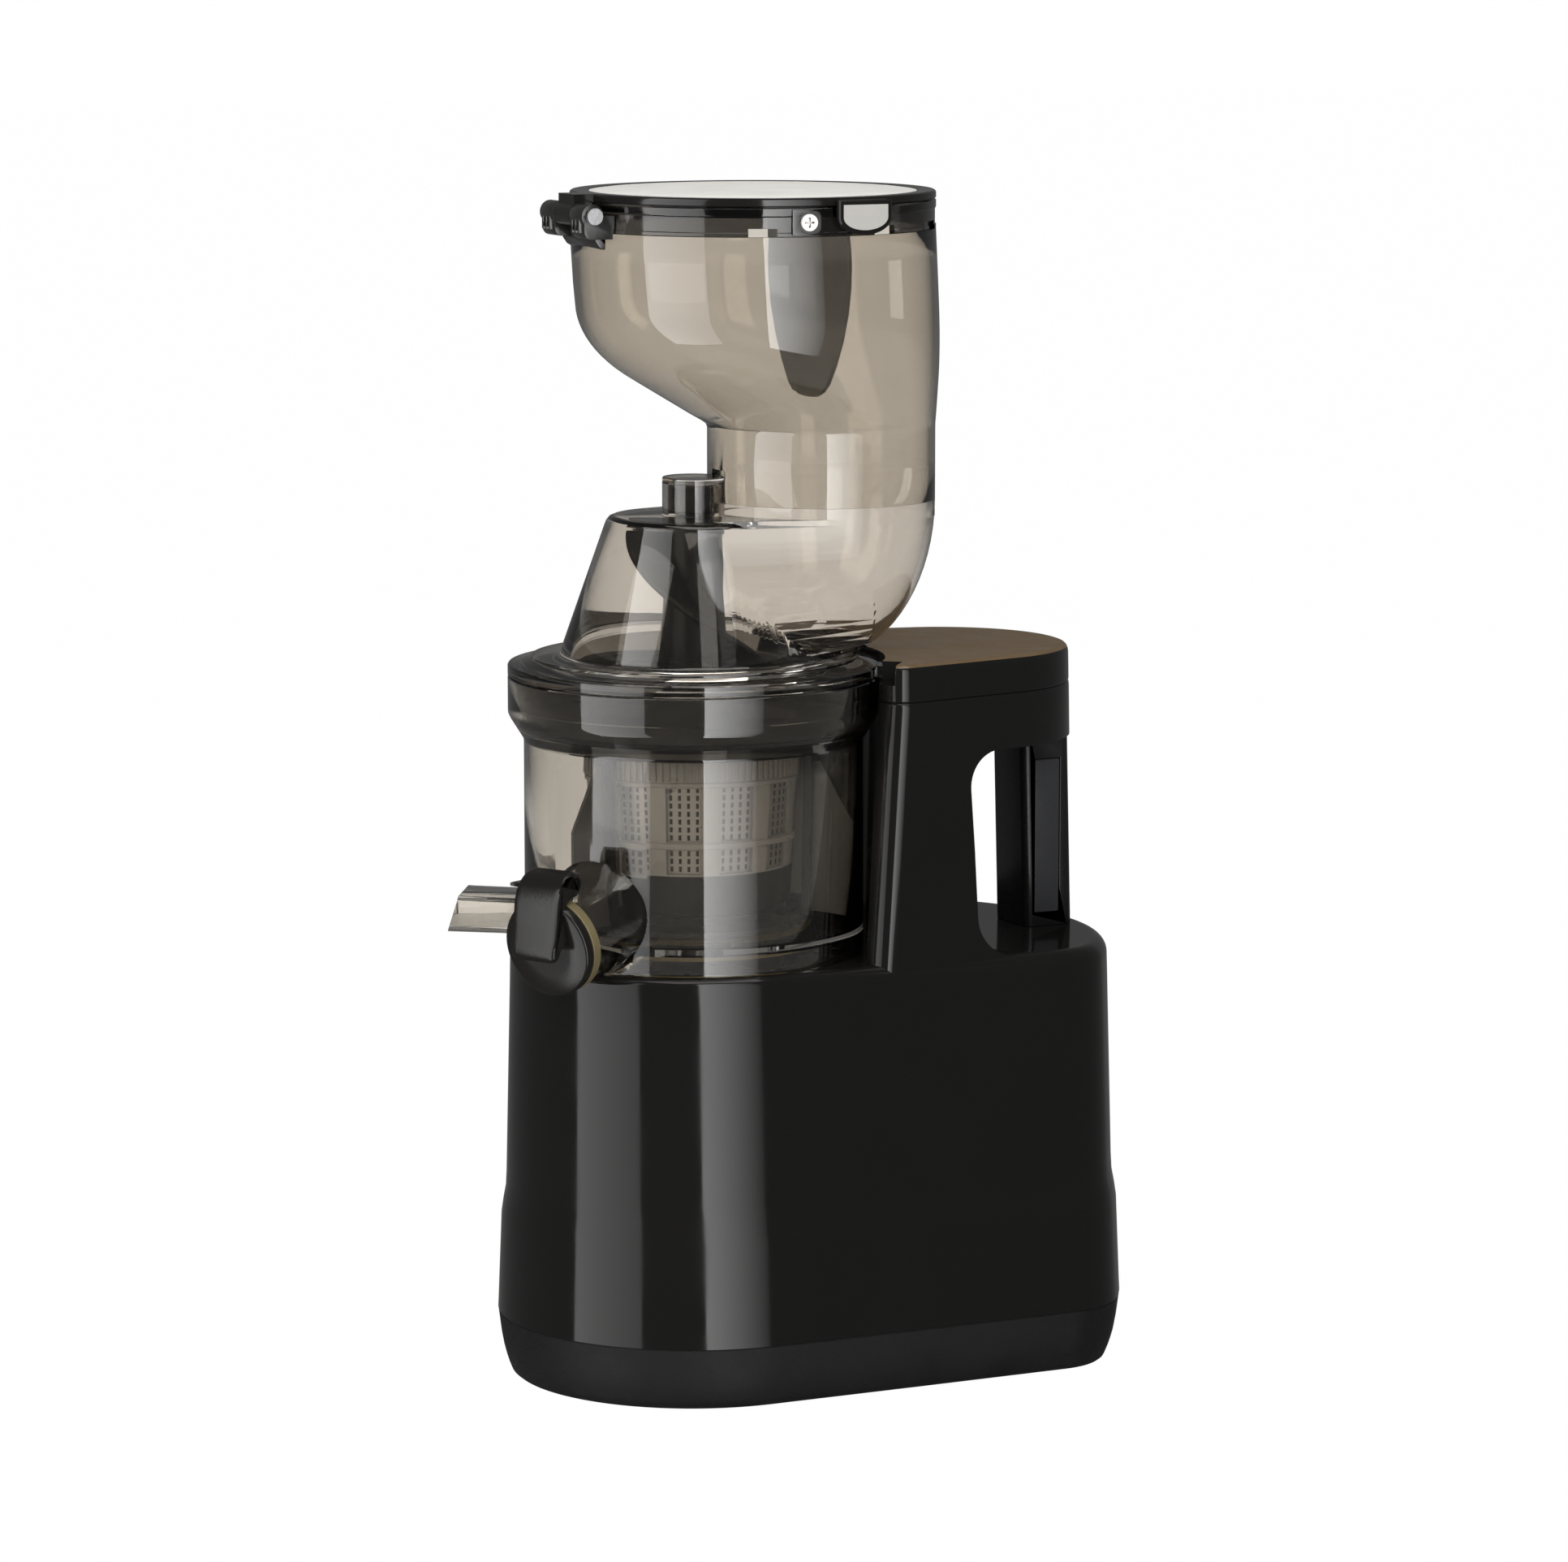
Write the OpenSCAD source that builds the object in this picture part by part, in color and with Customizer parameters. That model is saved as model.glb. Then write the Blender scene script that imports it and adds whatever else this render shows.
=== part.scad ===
// Upright cold press juicer: a motor base with a rear tower and carry handle,
// a clear bowl with strainer, auger and wiper, and a hopper cover with a hinged lid.
// Millimetres. Z is up, the juice spouts face -Y and the handle is at +Y.

/* [Placement] */
// Drive axis, sideways from the middle of the footprint
drive_axis_x = 17; // [0:1:20]
// Drive axis, in front of the middle of the footprint
drive_axis_y = -36; // [-60:1:-20]

/* [Base housing] */
// Radius of the rounded front at the lower seam
base_front_r = 73.5; // [72:0.5:84]
// Reach of the rear end behind the drive axis, at the lower seam
base_back_y = 166.5; // [158:1:185]
// Crown radius of the rear end
base_back_r = 100; // [80:1:120]
// Radius of the two rear corners
base_corner_r = 30; // [22:1:36]
// Angle from the middle of the rear end to each corner
base_corner_angle = 38; // [34:1:40]
// Height of the lower seam, where the bottom pan meets the housing
pan_h = 24; // [20:1:30]
// Height where the skirt of the housing starts to draw in
skirt_z = 60; // [50:1:75]
// Height over which the skirt draws in
skirt_h = 10; // [6:1:16]
// Height of the deck that the bowl stands on
deck_z = 158.5; // [154:0.5:170]
// Rounding of the housing's top edge
top_edge_r = 5; // [3:0.5:12]
// Wall of the housing
housing_wall = 2.6; // [2:0.1:3.2]

/* [Tower and handle] */
// Height of the seam under the tower's cap
tower_seam_z = 253.5; // [248:0.5:262]
// Height of the tower's cap above its seam
cap_h = 14; // [10:0.5:18]
// Reach of the tower behind the drive axis
tower_back_y = 150; // [142:1:155]
// Radius of the tower's rounded back
tower_back_r = 48; // [44:1:52]
// Half width of the tower's front at the cap
tower_front_x = 57; // [54:0.5:60]
// Where the tower's front corners stand at the cap
tower_front_y = 53; // [50:1:56]
// Gap between the bowl's rim and the hollow that it nests in
cradle_gap = 2.1; // [1.6:0.1:3.6]
// Front wall of the handle opening
grip_front_y = 87; // [80:1:90]
// Roof of the handle opening
grip_top_z = 233.5; // [225:0.5:242]
// Corner rounding of the handle opening
grip_corner_r = 14; // [8:1:18]
// Width of the handle post
post_w = 26; // [18:1:30]
// Depth of the handle post, front to back
post_d = 20; // [14:1:22]

/* [Bowl] */
// Outer radius of the bowl
bowl_r = 62.6; // [61:0.1:64]
// Wall of the bowl
bowl_wall = 2.5; // [2:0.1:3]
// Floor of the bowl above the deck
bowl_floor_h = 10; // [9:0.5:13]
// Reach of the bowl's rim outside its wall
rim_step = 5.8; // [4.4:0.1:6.9]
// Height of the ledge that carries the strainer
ledge_z = 242; // [238:0.5:246]
// Height of the seam between the bowl and its cover
rim_z = 261; // [258:0.5:266]
// Outer radius of the juice spout
spout_r = 17; // [14:0.5:18]
// Reach of the juice spout from the drive axis
spout_reach = 87; // [82:1:95]
// Height of the juice spout's axis at its end
spout_z = 172.5; // [171:0.5:178]
// Fall of the juice spout, in degrees
spout_fall = 12; // [6:1:15]
// Reach of the pulp chute from the drive axis
pulp_reach = 109; // [95:1:120]
// Width of the pulp chute
pulp_w = 26; // [20:1:30]

/* [Strainer and wiper] */
// Outer radius of the strainer below its flange
strainer_top_r = 40; // [38:0.5:42]
// Outer radius of the strainer at its foot
strainer_foot_r = 36.4; // [36:0.1:38]
// Wall of the strainer
strainer_wall = 1.6; // [1.4:0.1:2]
// Number of mesh windows around the strainer
window_count = 12; // [6:1:16]
// Radius of the wiper frame's posts
wiper_r = 44; // [43:0.5:47]

/* [Auger and its gears] */
// Radius of the auger's flights at the strainer's foot
flight_r = 32; // [28:0.5:33]
// Radius of the cutting blade at its foot
blade_r = 34; // [30:0.5:36]
// Width across the flats of the drive shaft's hexagon
hex_af = 11; // [9:0.5:11.5]
// Teeth of the auger's pinion
auger_teeth = 20; // [20:1:22]
// Teeth of the idler gear in the bowl's floor
idler_teeth = 14; // [12:2:14]
// Module of the bowl's gears
bowl_module = 1.25; // [1.2:0.01:1.3]

/* [Cover, chute and hopper] */
// Radius of the cover's cone at the foot
cone_foot_r = 49.5; // [46:0.5:52]
// Radius of the cover's cone at the top
cone_top_r = 31.3; // [28:0.5:34]
// Height of the cover's flat top
cone_top_z = 320; // [312:1:328]
// Wall of the cover, chute and hopper
clear_wall = 2.4; // [2:0.1:3]
// Outer radius of the feed chute
chute_r = 42.2; // [40:0.1:43]
// Distance of the feed chute behind the drive axis
chute_y = 52; // [48:0.5:54]
// Depth of the rounded bowl at the chute's foot
chute_bowl_h = 60.5; // [54:0.5:62]
// Outer radius of the hopper's mouth
mouth_r = 67; // [62:0.1:70]
// Height where the hopper meets the chute
hopper_foot_z = 351.5; // [345:0.5:360]
// Height of the hopper's top edge, under the collar
hopper_top_z = 424.5; // [418:0.5:432]
// Height of the collar around the mouth
collar_h = 10.5; // [10:0.5:14]
// Outer radius of the auger's top bearing tube
nub_r = 11.4; // [10.5:0.1:13]
// Height of the auger's top bearing tube
nub_h = 14; // [10:0.5:16]

/* [Lid] */
// Thickness of the lid's rim
lid_rim_h = 3; // [2.5:0.5:5]
// Rise of the lid's window above its rim
lid_dome = 1.2; // [0.5:0.1:2]
// Width of the splash flap under the lid
flap_w = 68; // [50:1:72]
// Length of the splash flap below the collar's foot
flap_drop = 62; // [40:1:64]
// Distance of the splash flap behind the drive axis
flap_y = 47; // [40:1:50]
// Length of the hinge pin
hinge_l = 40; // [32:1:56]

/* [Motor and gearbox] */
// Radius of the motor's can
motor_r = 33; // [28:0.5:34]
// Length of the motor's can
motor_l = 52; // [44:1:56]
// Radius of the motor's shaft
motor_shaft_r = 4; // [3:0.5:5]
// Radius of the output shaft in its bearing
shaft_r = 7; // [6:0.5:7.5]
// Teeth of the motor's pinion
pinion_teeth = 12; // [12:1:14]
// Teeth of the first wheel
wheel_teeth = 60; // [56:1:60]
// Module of the first pair
first_module = 0.8; // [0.75:0.01:0.82]
// Teeth of the second pinion
second_teeth = 14; // [13:1:15]
// Teeth of the output wheel
output_teeth = 56; // [52:1:56]
// Module of the second pair
second_module = 1.25; // [1.2:0.01:1.28]

/* [Fits] */
// Gap between pieces that rest on or beside each other
seat_gap = 0.3; // [0.2:0.05:0.4]
// Radial clearance of a turning fit
run_gap = 0.05; // [0.03:0.01:0.1]
// Play between the flanks of meshing teeth
gear_play = 0.16; // [0.1:0.02:0.3]

/* [Hidden] */
$fn = 72;

eps = 0.01;
pressure_angle = 25;

// Levels of the housing's outside: height, draw-in all round, extra draw-in of the sides
skirt_draw = 1.4;
step_draw = 1.6;
body_draw = 1.8;
side_draw = 3.2;
edge_z = deck_z - top_edge_r;
body_inset = skirt_draw + step_draw + body_draw;

// Bottom pan
pan_floor = 4;
pan_foot_draw = 3.4;
pan_wall = 2.6;
foot_h = 0.6;
foot_r = 9;
foot_x = 42;
foot_front_y = -30;
foot_back_y = 122;
boss_r = 4.5;
screw_r = 1.95;
screw_hole_r = 2;
screw_head_r = 3.6;
boss_x = 54;
boss_front_y = -28;
boss_back_y = 108;
pan_boss_top = pan_h + 20;

// Tower
rim_r = bowl_r + rim_step;
cradle_r = rim_r + cradle_gap;
tower_foot_z = 140;
tower_foot_x = 66.5;
tower_foot_y = 42;
tower_foot_back_r = 66;
tower_corner_r = 8;
cap_top_z = tower_seam_z + cap_h;
cap_edge = 3;
post_back_y = tower_back_y;
post_front_y = post_back_y - post_d;
lug_angle = 60;
lug_r = rim_r + 7.6;
lug_w = 12;
notch_r = lug_r + 2;
twist_max = 28;
notch_z = rim_z - 1;

// Bowl
bowl_foot_z = deck_z + seat_gap;
floor_z = deck_z + bowl_floor_h;
floor_t = 2.5;
bowl_in = bowl_r - bowl_wall;
rim_in = rim_r - bowl_wall;
flare_foot_z = ledge_z - 4;
flare_top_z = ledge_z + 5;
ledge_r = bowl_in + 3;
shaft_tube_in = shaft_r + seat_gap;
shaft_tube_r = shaft_tube_in + 1.6;
shaft_tube_top = floor_z + 6;
spout_dir = -60;
spout_wall = 2.4;
spout_in = spout_r - spout_wall;
pulp_dir = 210;
pulp_wall = 2;
pulp_h = 16;
pulp_foot_z = deck_z + seat_gap;
pulp_slope = 3.4;
pulp_hole_r = 17;
pulp_hole_l = 9;

// Juice cap: a plug disc on a lever that turns on a pin over the spout
cap_disc_r = spout_r + 1.2;
cap_disc_t = 4;
cap_lever_w = 24;
cap_pin_r = 1.6;
cap_pin_back = 6;
cap_pin_up = spout_r + 5.2;
cap_knuckle_r = 4.7;
cap_lug_r = 3.2;
cap_lug_w = 14;
seal_l = 4;

// Gears in the bowl
sun_r = bowl_module * auger_teeth / 2;
idler_r = bowl_module * idler_teeth / 2;
ring_teeth = auger_teeth + 2 * idler_teeth;
idler_dist = sun_r + idler_r;
idler_dir = 90;
gear_foot_z = floor_z + seat_gap;
bowl_gear_h = 5;
gear_top_z = gear_foot_z + bowl_gear_h;
idler_pin_r = 2;
ring_gear_r = bowl_module * (ring_teeth / 2 + 1.25) + 3;

// Strainer and wiper
strainer_foot_z = gear_top_z + 0.8;
strainer_flange_t = 2;
strainer_flange_r = ledge_r - seat_gap;
strainer_hole_r = sun_r + bowl_module + 1.2;
wiper_post_t = 3;
wiper_start = 169;
wiper_top_z = ledge_z - 3.5;
wiper_ring_h = 3;
mesh_foot_z = strainer_foot_z + 29.5;
mesh_top_z = ledge_z - 17;
mesh_gap = strainer_wall + 0.25;

// Auger
auger_foot_z = strainer_foot_z + 2.6;
auger_top_z = cone_top_z - clear_wall - 1.2;
auger_neck_z = ledge_z;
blade_foot_z = ledge_z + 8;
journal_r = 6.6;
hex_r = hex_af / 2 / cos(30);
hex_gap = 0.2;
hex_top_z = auger_foot_z + 16;

// Cover
cover_plate_z = rim_z + 4.5;
cover_top_z = rim_z + 7.5;
cover_step_r = rim_r - 8.4;
skirt_r = rim_in - seat_gap;
skirt_in = skirt_r - 3;
cover_skirt_z = ledge_z + 8;
chute_joint_z = cone_top_z + 4;
seal_foot_z = ledge_z + strainer_flange_t + seat_gap;

// Hopper and lid
hopper_lean = 3;
mouth_y = chute_y + chute_r - mouth_r - hopper_lean;
collar_wall = 2.8;
collar_top_z = hopper_top_z + collar_h;
collar_in = mouth_r - collar_wall;
lid_z = collar_top_z + seat_gap;
lid_top_z = lid_z + lid_rim_h;
lid_flange_h = 4;
lid_flange_r = collar_in - 0.5;
lid_frame_w = 7;
lid_gap_x = 33;
hopper_slope = 39.5;
hopper_round = 43;
arc_foot_r = mouth_r - 0.3 - hopper_round * (1 - cos(hopper_slope));
hopper_stretch = (hopper_top_z - hopper_foot_z) / 73;
arc_foot_z = hopper_foot_z + hopper_stretch * (arc_foot_r - chute_r) / tan(hopper_slope);
arc_top_z = arc_foot_z + hopper_stretch * hopper_round * sin(hopper_slope);
hinge_y = mouth_y - mouth_r - 5.2;
hinge_z = collar_top_z - lid_flange_h;
hinge_pin_r = 1.5;
hinge_barrel_r = 4.2;
knuckle_l = 14;
screw_y = 15;
tab_y = 36;
tab_w = 20;
tab_h = 11;

// Motor and gearbox, with the motor's axis behind the drive axis
second_dist = second_module * (second_teeth + output_teeth) / 2;
first_dist = first_module * (pinion_teeth + wheel_teeth) / 2;
lay_y = second_dist;
motor_y = second_dist + first_dist;
case_foot_z = 101;
case_wall = 3;
case_top_z = 136;
lid_plate_t = 4;
motor_top_z = case_foot_z;
motor_foot_z = motor_top_z - motor_l;
first_z = case_foot_z + case_wall + 3;
first_h = 8;
second_z = first_z + first_h + 3;
second_h = 12;
output_r = second_module * (output_teeth / 2 + 1);
wheel_r = first_module * (wheel_teeth / 2 + 1);
lay_shaft_r = 3;
bearing_t = 7;
output_bearing_r = 13;
fan_r = 24;
fan_z = motor_foot_z - 15;
fan_h = 9;

// Deck plate, cord gland and vents of the housing
deck_r = 54;
deck_ledge_w = 3;
deck_ledge_t = 3;
gland_z = 42;
gland_r = 7;
vent_pitch = 7;
vent_w = 2.4;
vent_z = 84;
vent_h = 22;

// Rocker switch in the far side wall
switch_y = 60;
switch_z = 112;
switch_w = 18;
switch_h = 28;

// Deck plate's posts and lip seal
deck_post_z = case_top_z + lid_plate_t;
seal_r = shaft_r + 4;

// Motor's bearings and stator
motor_bearing_r = 9;
stator_in = 19;
stator_h = 28;

// Gearbox's screw ears and the tail over the motor's pinion
case_tail_r = 10;
ear_x = 36.5;
ear_front_y = 27;
ear_back_y = 27;

// Interlock sensor
sensor_gap = 0.5;

// Motor's rubber mounts and the control board's posts
mount_r = 5;
mount_ring_r = motor_r + 4;
board_z = 32;
board_w = 84;
board_d = 58;
board_t = 1.6;
board_y = -18;

// Handle inlays
grip_t = 2;
post_lean = 2;

// Height of the wires along the wall
wire_z = pan_boss_top + 8;

// Rocker switch: the bezel's flange, the rocker's pivot and half length
bezel_w = switch_w + 5;
bezel_h = switch_h + 5;
rocker_x = 4.5;
rocker_l = switch_h / 2 - 3.8;
rocker_r = rocker_l + 1;

// Seat of the cord gland in the rear wall, and its flange
gland_in = 2;
gland_flange_r = gland_r + 2;

module on_axis() {
    translate([drive_axis_x, drive_axis_y, 0]) children();
}

module at_z(z) {
    translate([0, 0, z]) children();
}

module mirror_copy() {
    children();
    mirror([1, 0, 0]) children();
}

module tube(r_out, r_in, h) {
    difference() {
        cylinder(r = r_out, h = h);
        at_z(-eps) cylinder(r = r_in, h = h + 2 * eps);
    }
}

// ---- Gear teeth with involute flanks ----

function involute(r, base_r) =
    r <= base_r ? 0 : tan(acos(base_r / r)) * 180 / PI - acos(base_r / r);

function half_tooth(teeth, mod, play, r) =
    90 / teeth - play * 180 / PI / (mod * teeth)
    + involute(mod * teeth / 2, mod * teeth / 2 * cos(pressure_angle))
    - involute(r, mod * teeth / 2 * cos(pressure_angle));

function flank_radii(teeth, mod, add, ded) =
    let (pitch = mod * teeth / 2)
    [for (k = [0:4]) pitch - ded * mod + k / 4 * (add + ded) * mod];

function gear_points(teeth, mod, play, add, ded) =
    let (radii = flank_radii(teeth, mod, add, ded))
    [for (i = [0:teeth - 1], k = [0:9])
        let (r = k < 5 ? radii[k] : radii[9 - k])
        let (side = k < 5 ? -1 : 1)
        let (a = i * 360 / teeth + side * max(half_tooth(teeth, mod, play, r), 0.3))
        r * [cos(a), sin(a)]];

module spur_gear(teeth, mod, h, play = gear_play / 2) {
    linear_extrude(height = h) polygon(gear_points(teeth, mod, play, 0.95, 1.2));
}

// Turn that puts a gap of a gear against a tooth of the gear that lies at an angle
function gear_phase(toward, teeth) = toward + 180 - 180 / teeth;

module gear_cutter(teeth, mod, h, play = gear_play / 2) {
    linear_extrude(height = h) polygon(gear_points(teeth, mod, -play, 1.2, 0.95));
}

// ---- Outlines of the housing ----

module base_plan(inset, squeeze = 0) {
    swing = base_back_r - base_corner_r;
    front = base_front_r - inset;
    scale([(front - squeeze) / front, 1]) hull() {
        circle(r = front, $fn = 72);
        for (a = [-3:3])
            translate([swing * sin(a * base_corner_angle / 3),
                       base_back_y - base_back_r + swing * cos(a * base_corner_angle / 3)])
                circle(r = base_corner_r - inset, $fn = 36);
    }
}

module slice(z) {
    at_z(z) linear_extrude(height = eps) children();
}

module base_skirt(grow = 0) {
    hull() {
        slice(pan_h) base_plan(-grow);
        slice(skirt_z) base_plan(skirt_draw - grow, 0.5);
        slice(skirt_z + skirt_h) base_plan(skirt_draw + step_draw - grow, 1);
    }
}

module base_body(grow = 0) {
    hull() {
        slice(skirt_z + skirt_h) base_plan(skirt_draw + step_draw - grow, 1);
        slice(edge_z) base_plan(body_inset - grow, side_draw);
        for (a = [30:30:90])
            slice(edge_z + top_edge_r * sin(a) + grow)
                base_plan(body_inset + top_edge_r * (1 - cos(a)) - grow, side_draw);
    }
}

module tower_plan_top(inset = 0) {
    hull() {
        mirror_copy()
            translate([tower_front_x - tower_corner_r, tower_front_y + tower_corner_r])
                circle(r = tower_corner_r - inset, $fn = 32);
        translate([0, tower_back_y - tower_back_r])
            circle(r = tower_back_r - inset, $fn = 72);
    }
}

module tower_plan_foot(inset = 0) {
    hull() {
        mirror_copy()
            translate([tower_foot_x - tower_corner_r, tower_foot_y + tower_corner_r])
                circle(r = tower_corner_r - inset, $fn = 32);
        translate([0, tower_back_y - tower_foot_back_r])
            circle(r = tower_foot_back_r - inset, $fn = 72);
    }
}

module tower_block(inset = 0, top = tower_seam_z) {
    hull() {
        slice(tower_foot_z) tower_plan_foot(inset);
        slice(top - eps) tower_plan_top(inset);
    }
}

// The opening behind the tower, rounded where it meets the tower and the overhang
module grip_cut(grow = 0) {
    depth = 2 * base_front_r + 20;
    height = grip_top_z - deck_z + 2 * grow;
    length = tower_back_y + 30 - grip_front_y + grow;
    r = grip_corner_r;
    translate([-depth / 2, grip_front_y - grow, deck_z - grow]) rotate([90, 0, 90])
        linear_extrude(height = depth) union() {
            translate([r, 0]) square([length - r, height]);
            translate([0, r]) square([2 * r, height - 2 * r]);
            translate([r, r]) circle(r = r);
            translate([r, height - r]) circle(r = r);
        }
}

module lug_notch() {
    side = asin((lug_w / 2 + 1.4) / cradle_r);
    at_z(notch_z) rotate(lug_angle - side) rotate_extrude(angle = twist_max + 2 * side)
        translate([cradle_r - 6, 0]) square([notch_r - cradle_r + 6, cap_top_z]);
}

module boss_places() {
    mirror_copy() {
        translate([boss_x, boss_front_y, 0]) children();
        translate([boss_x, boss_back_y, 0]) children();
    }
}

module switch_place() {
    translate([-(base_front_r - body_inset - side_draw / 2), switch_y, switch_z]) children();
}

// Moulded shell of the base and the tower, in gloss black
module main_housing() color([0.10, 0.10, 0.10]) on_axis() {
    difference() {
        union() {
            base_skirt();
            base_body();
            difference() {
                tower_block();
                grip_cut();
            }
        }
        difference() {
            union() {
                at_z(-eps) base_skirt(-housing_wall);
                base_body(-housing_wall);
                difference() {
                    tower_block(housing_wall, tower_seam_z + 1);
                    grip_cut(housing_wall);
                    cylinder(r = cradle_r + housing_wall, h = tower_seam_z + 10);
                }
            }
            boss_places() at_z(pan_h) {
                cylinder(r = boss_r, h = pan_boss_top - pan_h);
                translate([0, -1.2, 0]) cube([20, 2.4, pan_boss_top - pan_h]);
            }
        }
        at_z(deck_z) cylinder(r = cradle_r, h = tower_seam_z);
        at_z(deck_z - 20) cylinder(r = deck_r, h = 40);
        boss_places() at_z(pan_h - 1) cylinder(r = screw_hole_r, h = 16);
        switch_place() cube([16, switch_w, switch_h], center = true);
        switch_place() translate([1 - 5, 0, 0])
            cube([10, bezel_w + 2 * seat_gap, bezel_h + 2 * seat_gap], center = true);
        gland_place() {
            cylinder(r = gland_r, h = 30, center = true);
            cylinder(r = gland_flange_r + seat_gap, h = 20);
        }
        rear_vents();
    }
    deck_ledge();
}

// Ring under the deck opening that carries the deck plate
module deck_ledge() {
    at_z(deck_z - housing_wall - deck_ledge_t) {
        tube(deck_r + 4, deck_r - deck_ledge_w, deck_ledge_t);
        tube(deck_r + 4, deck_r + 0.1, deck_ledge_t + 0.5);
    }
}

module rear_vents() {
    for (i = [-3:3])
        translate([i * vent_pitch, base_back_y - body_inset, vent_z])
            cube([vent_w, 30, vent_h], center = true);
}

// Bottom pan, in matt black, with an air grille under the motor
module base_pan() color([0.07, 0.07, 0.07]) on_axis() {
    difference() {
        hull() {
            slice(foot_h) base_plan(pan_foot_draw + 2.6, 0.5);
            slice(foot_h + 1) base_plan(pan_foot_draw + 1.4, 0.4);
            slice(foot_h + 3.5) base_plan(pan_foot_draw + 0.4, 0.3);
            slice(foot_h + 9.5) base_plan(pan_foot_draw - 1.3, 0);
            slice(pan_h - eps) base_plan(0);
        }
        hull() {
            slice(foot_h + pan_floor) base_plan(pan_foot_draw + pan_wall + 2, 0.5);
            slice(pan_h) base_plan(pan_wall);
        }
        boss_places() at_z(-1) cylinder(r = screw_hole_r, h = 20);
        boss_places() at_z(-1) cylinder(r = screw_head_r + seat_gap, h = foot_h + 3.2);
        pan_grille();
        foot_places() at_z(-1) cylinder(r = foot_r - 3, h = foot_h + 2.6);
    }
    difference() {
        boss_places() at_z(foot_h + pan_floor - 1)
            cylinder(r = boss_r, h = pan_h - seat_gap - foot_h - pan_floor + 1);
        boss_places() at_z(-1) cylinder(r = screw_hole_r, h = pan_h + 2);
    }
    board_places() at_z(foot_h + pan_floor - 0.5)
        cylinder(r = 3, h = board_z - foot_h - pan_floor + 0.5);
    mount_places() at_z(foot_h + pan_floor - 0.5) cylinder(r = mount_r, h = 6.5);
}

module pan_grille() {
    for (i = [-4:4])
        translate([i * vent_pitch - vent_w / 2, motor_y - 17, -1])
            cube([vent_w, 34, foot_h + pan_floor + 2]);
}

module foot_places() {
    mirror_copy() {
        translate([foot_x, foot_front_y, 0]) children();
        translate([foot_x, foot_back_y, 0]) children();
    }
}

// Four rubber feet, each with a plug in a pocket of the pan
module rubber_feet() color([0.16, 0.16, 0.16]) on_axis() foot_places() {
    cylinder(r1 = foot_r - 0.6, r2 = foot_r, h = foot_h);
    cylinder(r = foot_r - 3.2, h = foot_h + 1.4);
}

module screw(head_r, shank_r, head_h, length) {
    difference() {
        cylinder(r = head_r, h = head_h);
        at_z(-eps) for (a = [0, 90])
            rotate(a) translate([-head_r * 0.6, -0.4, 0]) cube([head_r * 1.2, 0.8, head_h * 0.5]);
    }
    at_z(head_h - eps) cylinder(r = shank_r, h = length);
}

// Screws that hold the pan to the housing
module pan_screws() color("silver") on_axis() boss_places()
    at_z(foot_h + 0.2) screw(screw_head_r, screw_r, 2, pan_h + 4);

// Round plate under the bowl, with posts that the gearbox hangs from
module bowl_deck() color([0.12, 0.12, 0.12]) on_axis() {
    difference() {
        union() {
            at_z(deck_z - housing_wall) cylinder(r = deck_r - 0.1, h = housing_wall);
            at_z(deck_post_z) deck_posts(boss_r);
        }
        at_z(deck_post_z - 1) deck_posts(screw_hole_r, 10);
        at_z(deck_z - 10) cylinder(r = seal_r, h = 20);
    }
}

module deck_posts(r, h = deck_z - deck_post_z - housing_wall + 0.5) {
    ear_places() cylinder(r = r, h = h);
}

// Lip seal that keeps juice out of the gearbox
module deck_seal() color([0.2, 0.2, 0.2]) on_axis() {
    difference() {
        union() {
            at_z(deck_z - housing_wall) cylinder(r = seal_r - run_gap, h = housing_wall);
            at_z(deck_z - eps) cylinder(r1 = seal_r - run_gap, r2 = shaft_r + 1.2, h = 3);
        }
        at_z(deck_z - 10) cylinder(r = shaft_r + run_gap, h = 20);
    }
}

// Cap of the tower, with the notch that the cover's lug turns into
module tower_cap() color([0.15, 0.13, 0.11]) on_axis() {
    difference() {
        hull() {
            slice(tower_seam_z) tower_plan_top();
            slice(cap_top_z - cap_edge) tower_plan_top(0.3);
            slice(cap_top_z - cap_edge * 0.3) tower_plan_top(1);
            slice(cap_top_z - eps) tower_plan_top(cap_edge);
        }
        difference() {
            hull() {
                slice(tower_seam_z - 1) tower_plan_top(housing_wall);
                slice(cap_top_z - housing_wall - 1) tower_plan_top(housing_wall + 1);
            }
            cylinder(r = notch_r + housing_wall, h = cap_top_z + 1);
        }
        cylinder(r = cradle_r, h = cap_top_z + 1);
        lug_notch();
    }
}

// Upright post of the carry handle, behind the opening
module handle_post() color([0.11, 0.10, 0.09]) on_axis() {
    difference() {
        post_shape(deck_z + 2 * eps, grip_top_z - 2 * eps);
        mirror_copy() translate([post_w / 2 - grip_t, 0, 0]) post_panel(0);
    }
}

// The post leans back a little towards its foot
module post_shape(z0, z1) {
    hull() for (end = [[z0, post_lean], [z1 - eps, 0]])
        slice(end[0]) for (x = [-1, 1], y = [-1, 1])
            translate([x * (post_w / 2 - 3), (post_front_y + post_back_y) / 2 + end[1]
                       + y * (post_d / 2 - 3)])
                circle(r = 3, $fn = 32);
}

module post_panel(inset) {
    translate([0, post_front_y + 5 + inset, deck_z + 5 + inset])
        cube([grip_t + 1, post_d - 9 - 2 * inset, grip_top_z - deck_z - 16 - 2 * inset]);
}

// Two soft inlays in the sides of the post
module handle_grips() color([0.2, 0.2, 0.22]) on_axis() mirror_copy()
    intersection() {
        translate([post_w / 2 - grip_t + 0.05, 0, 0]) post_panel(0.1);
        cube([post_w + 0.3, 400, 600], center = true);
    }

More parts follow.
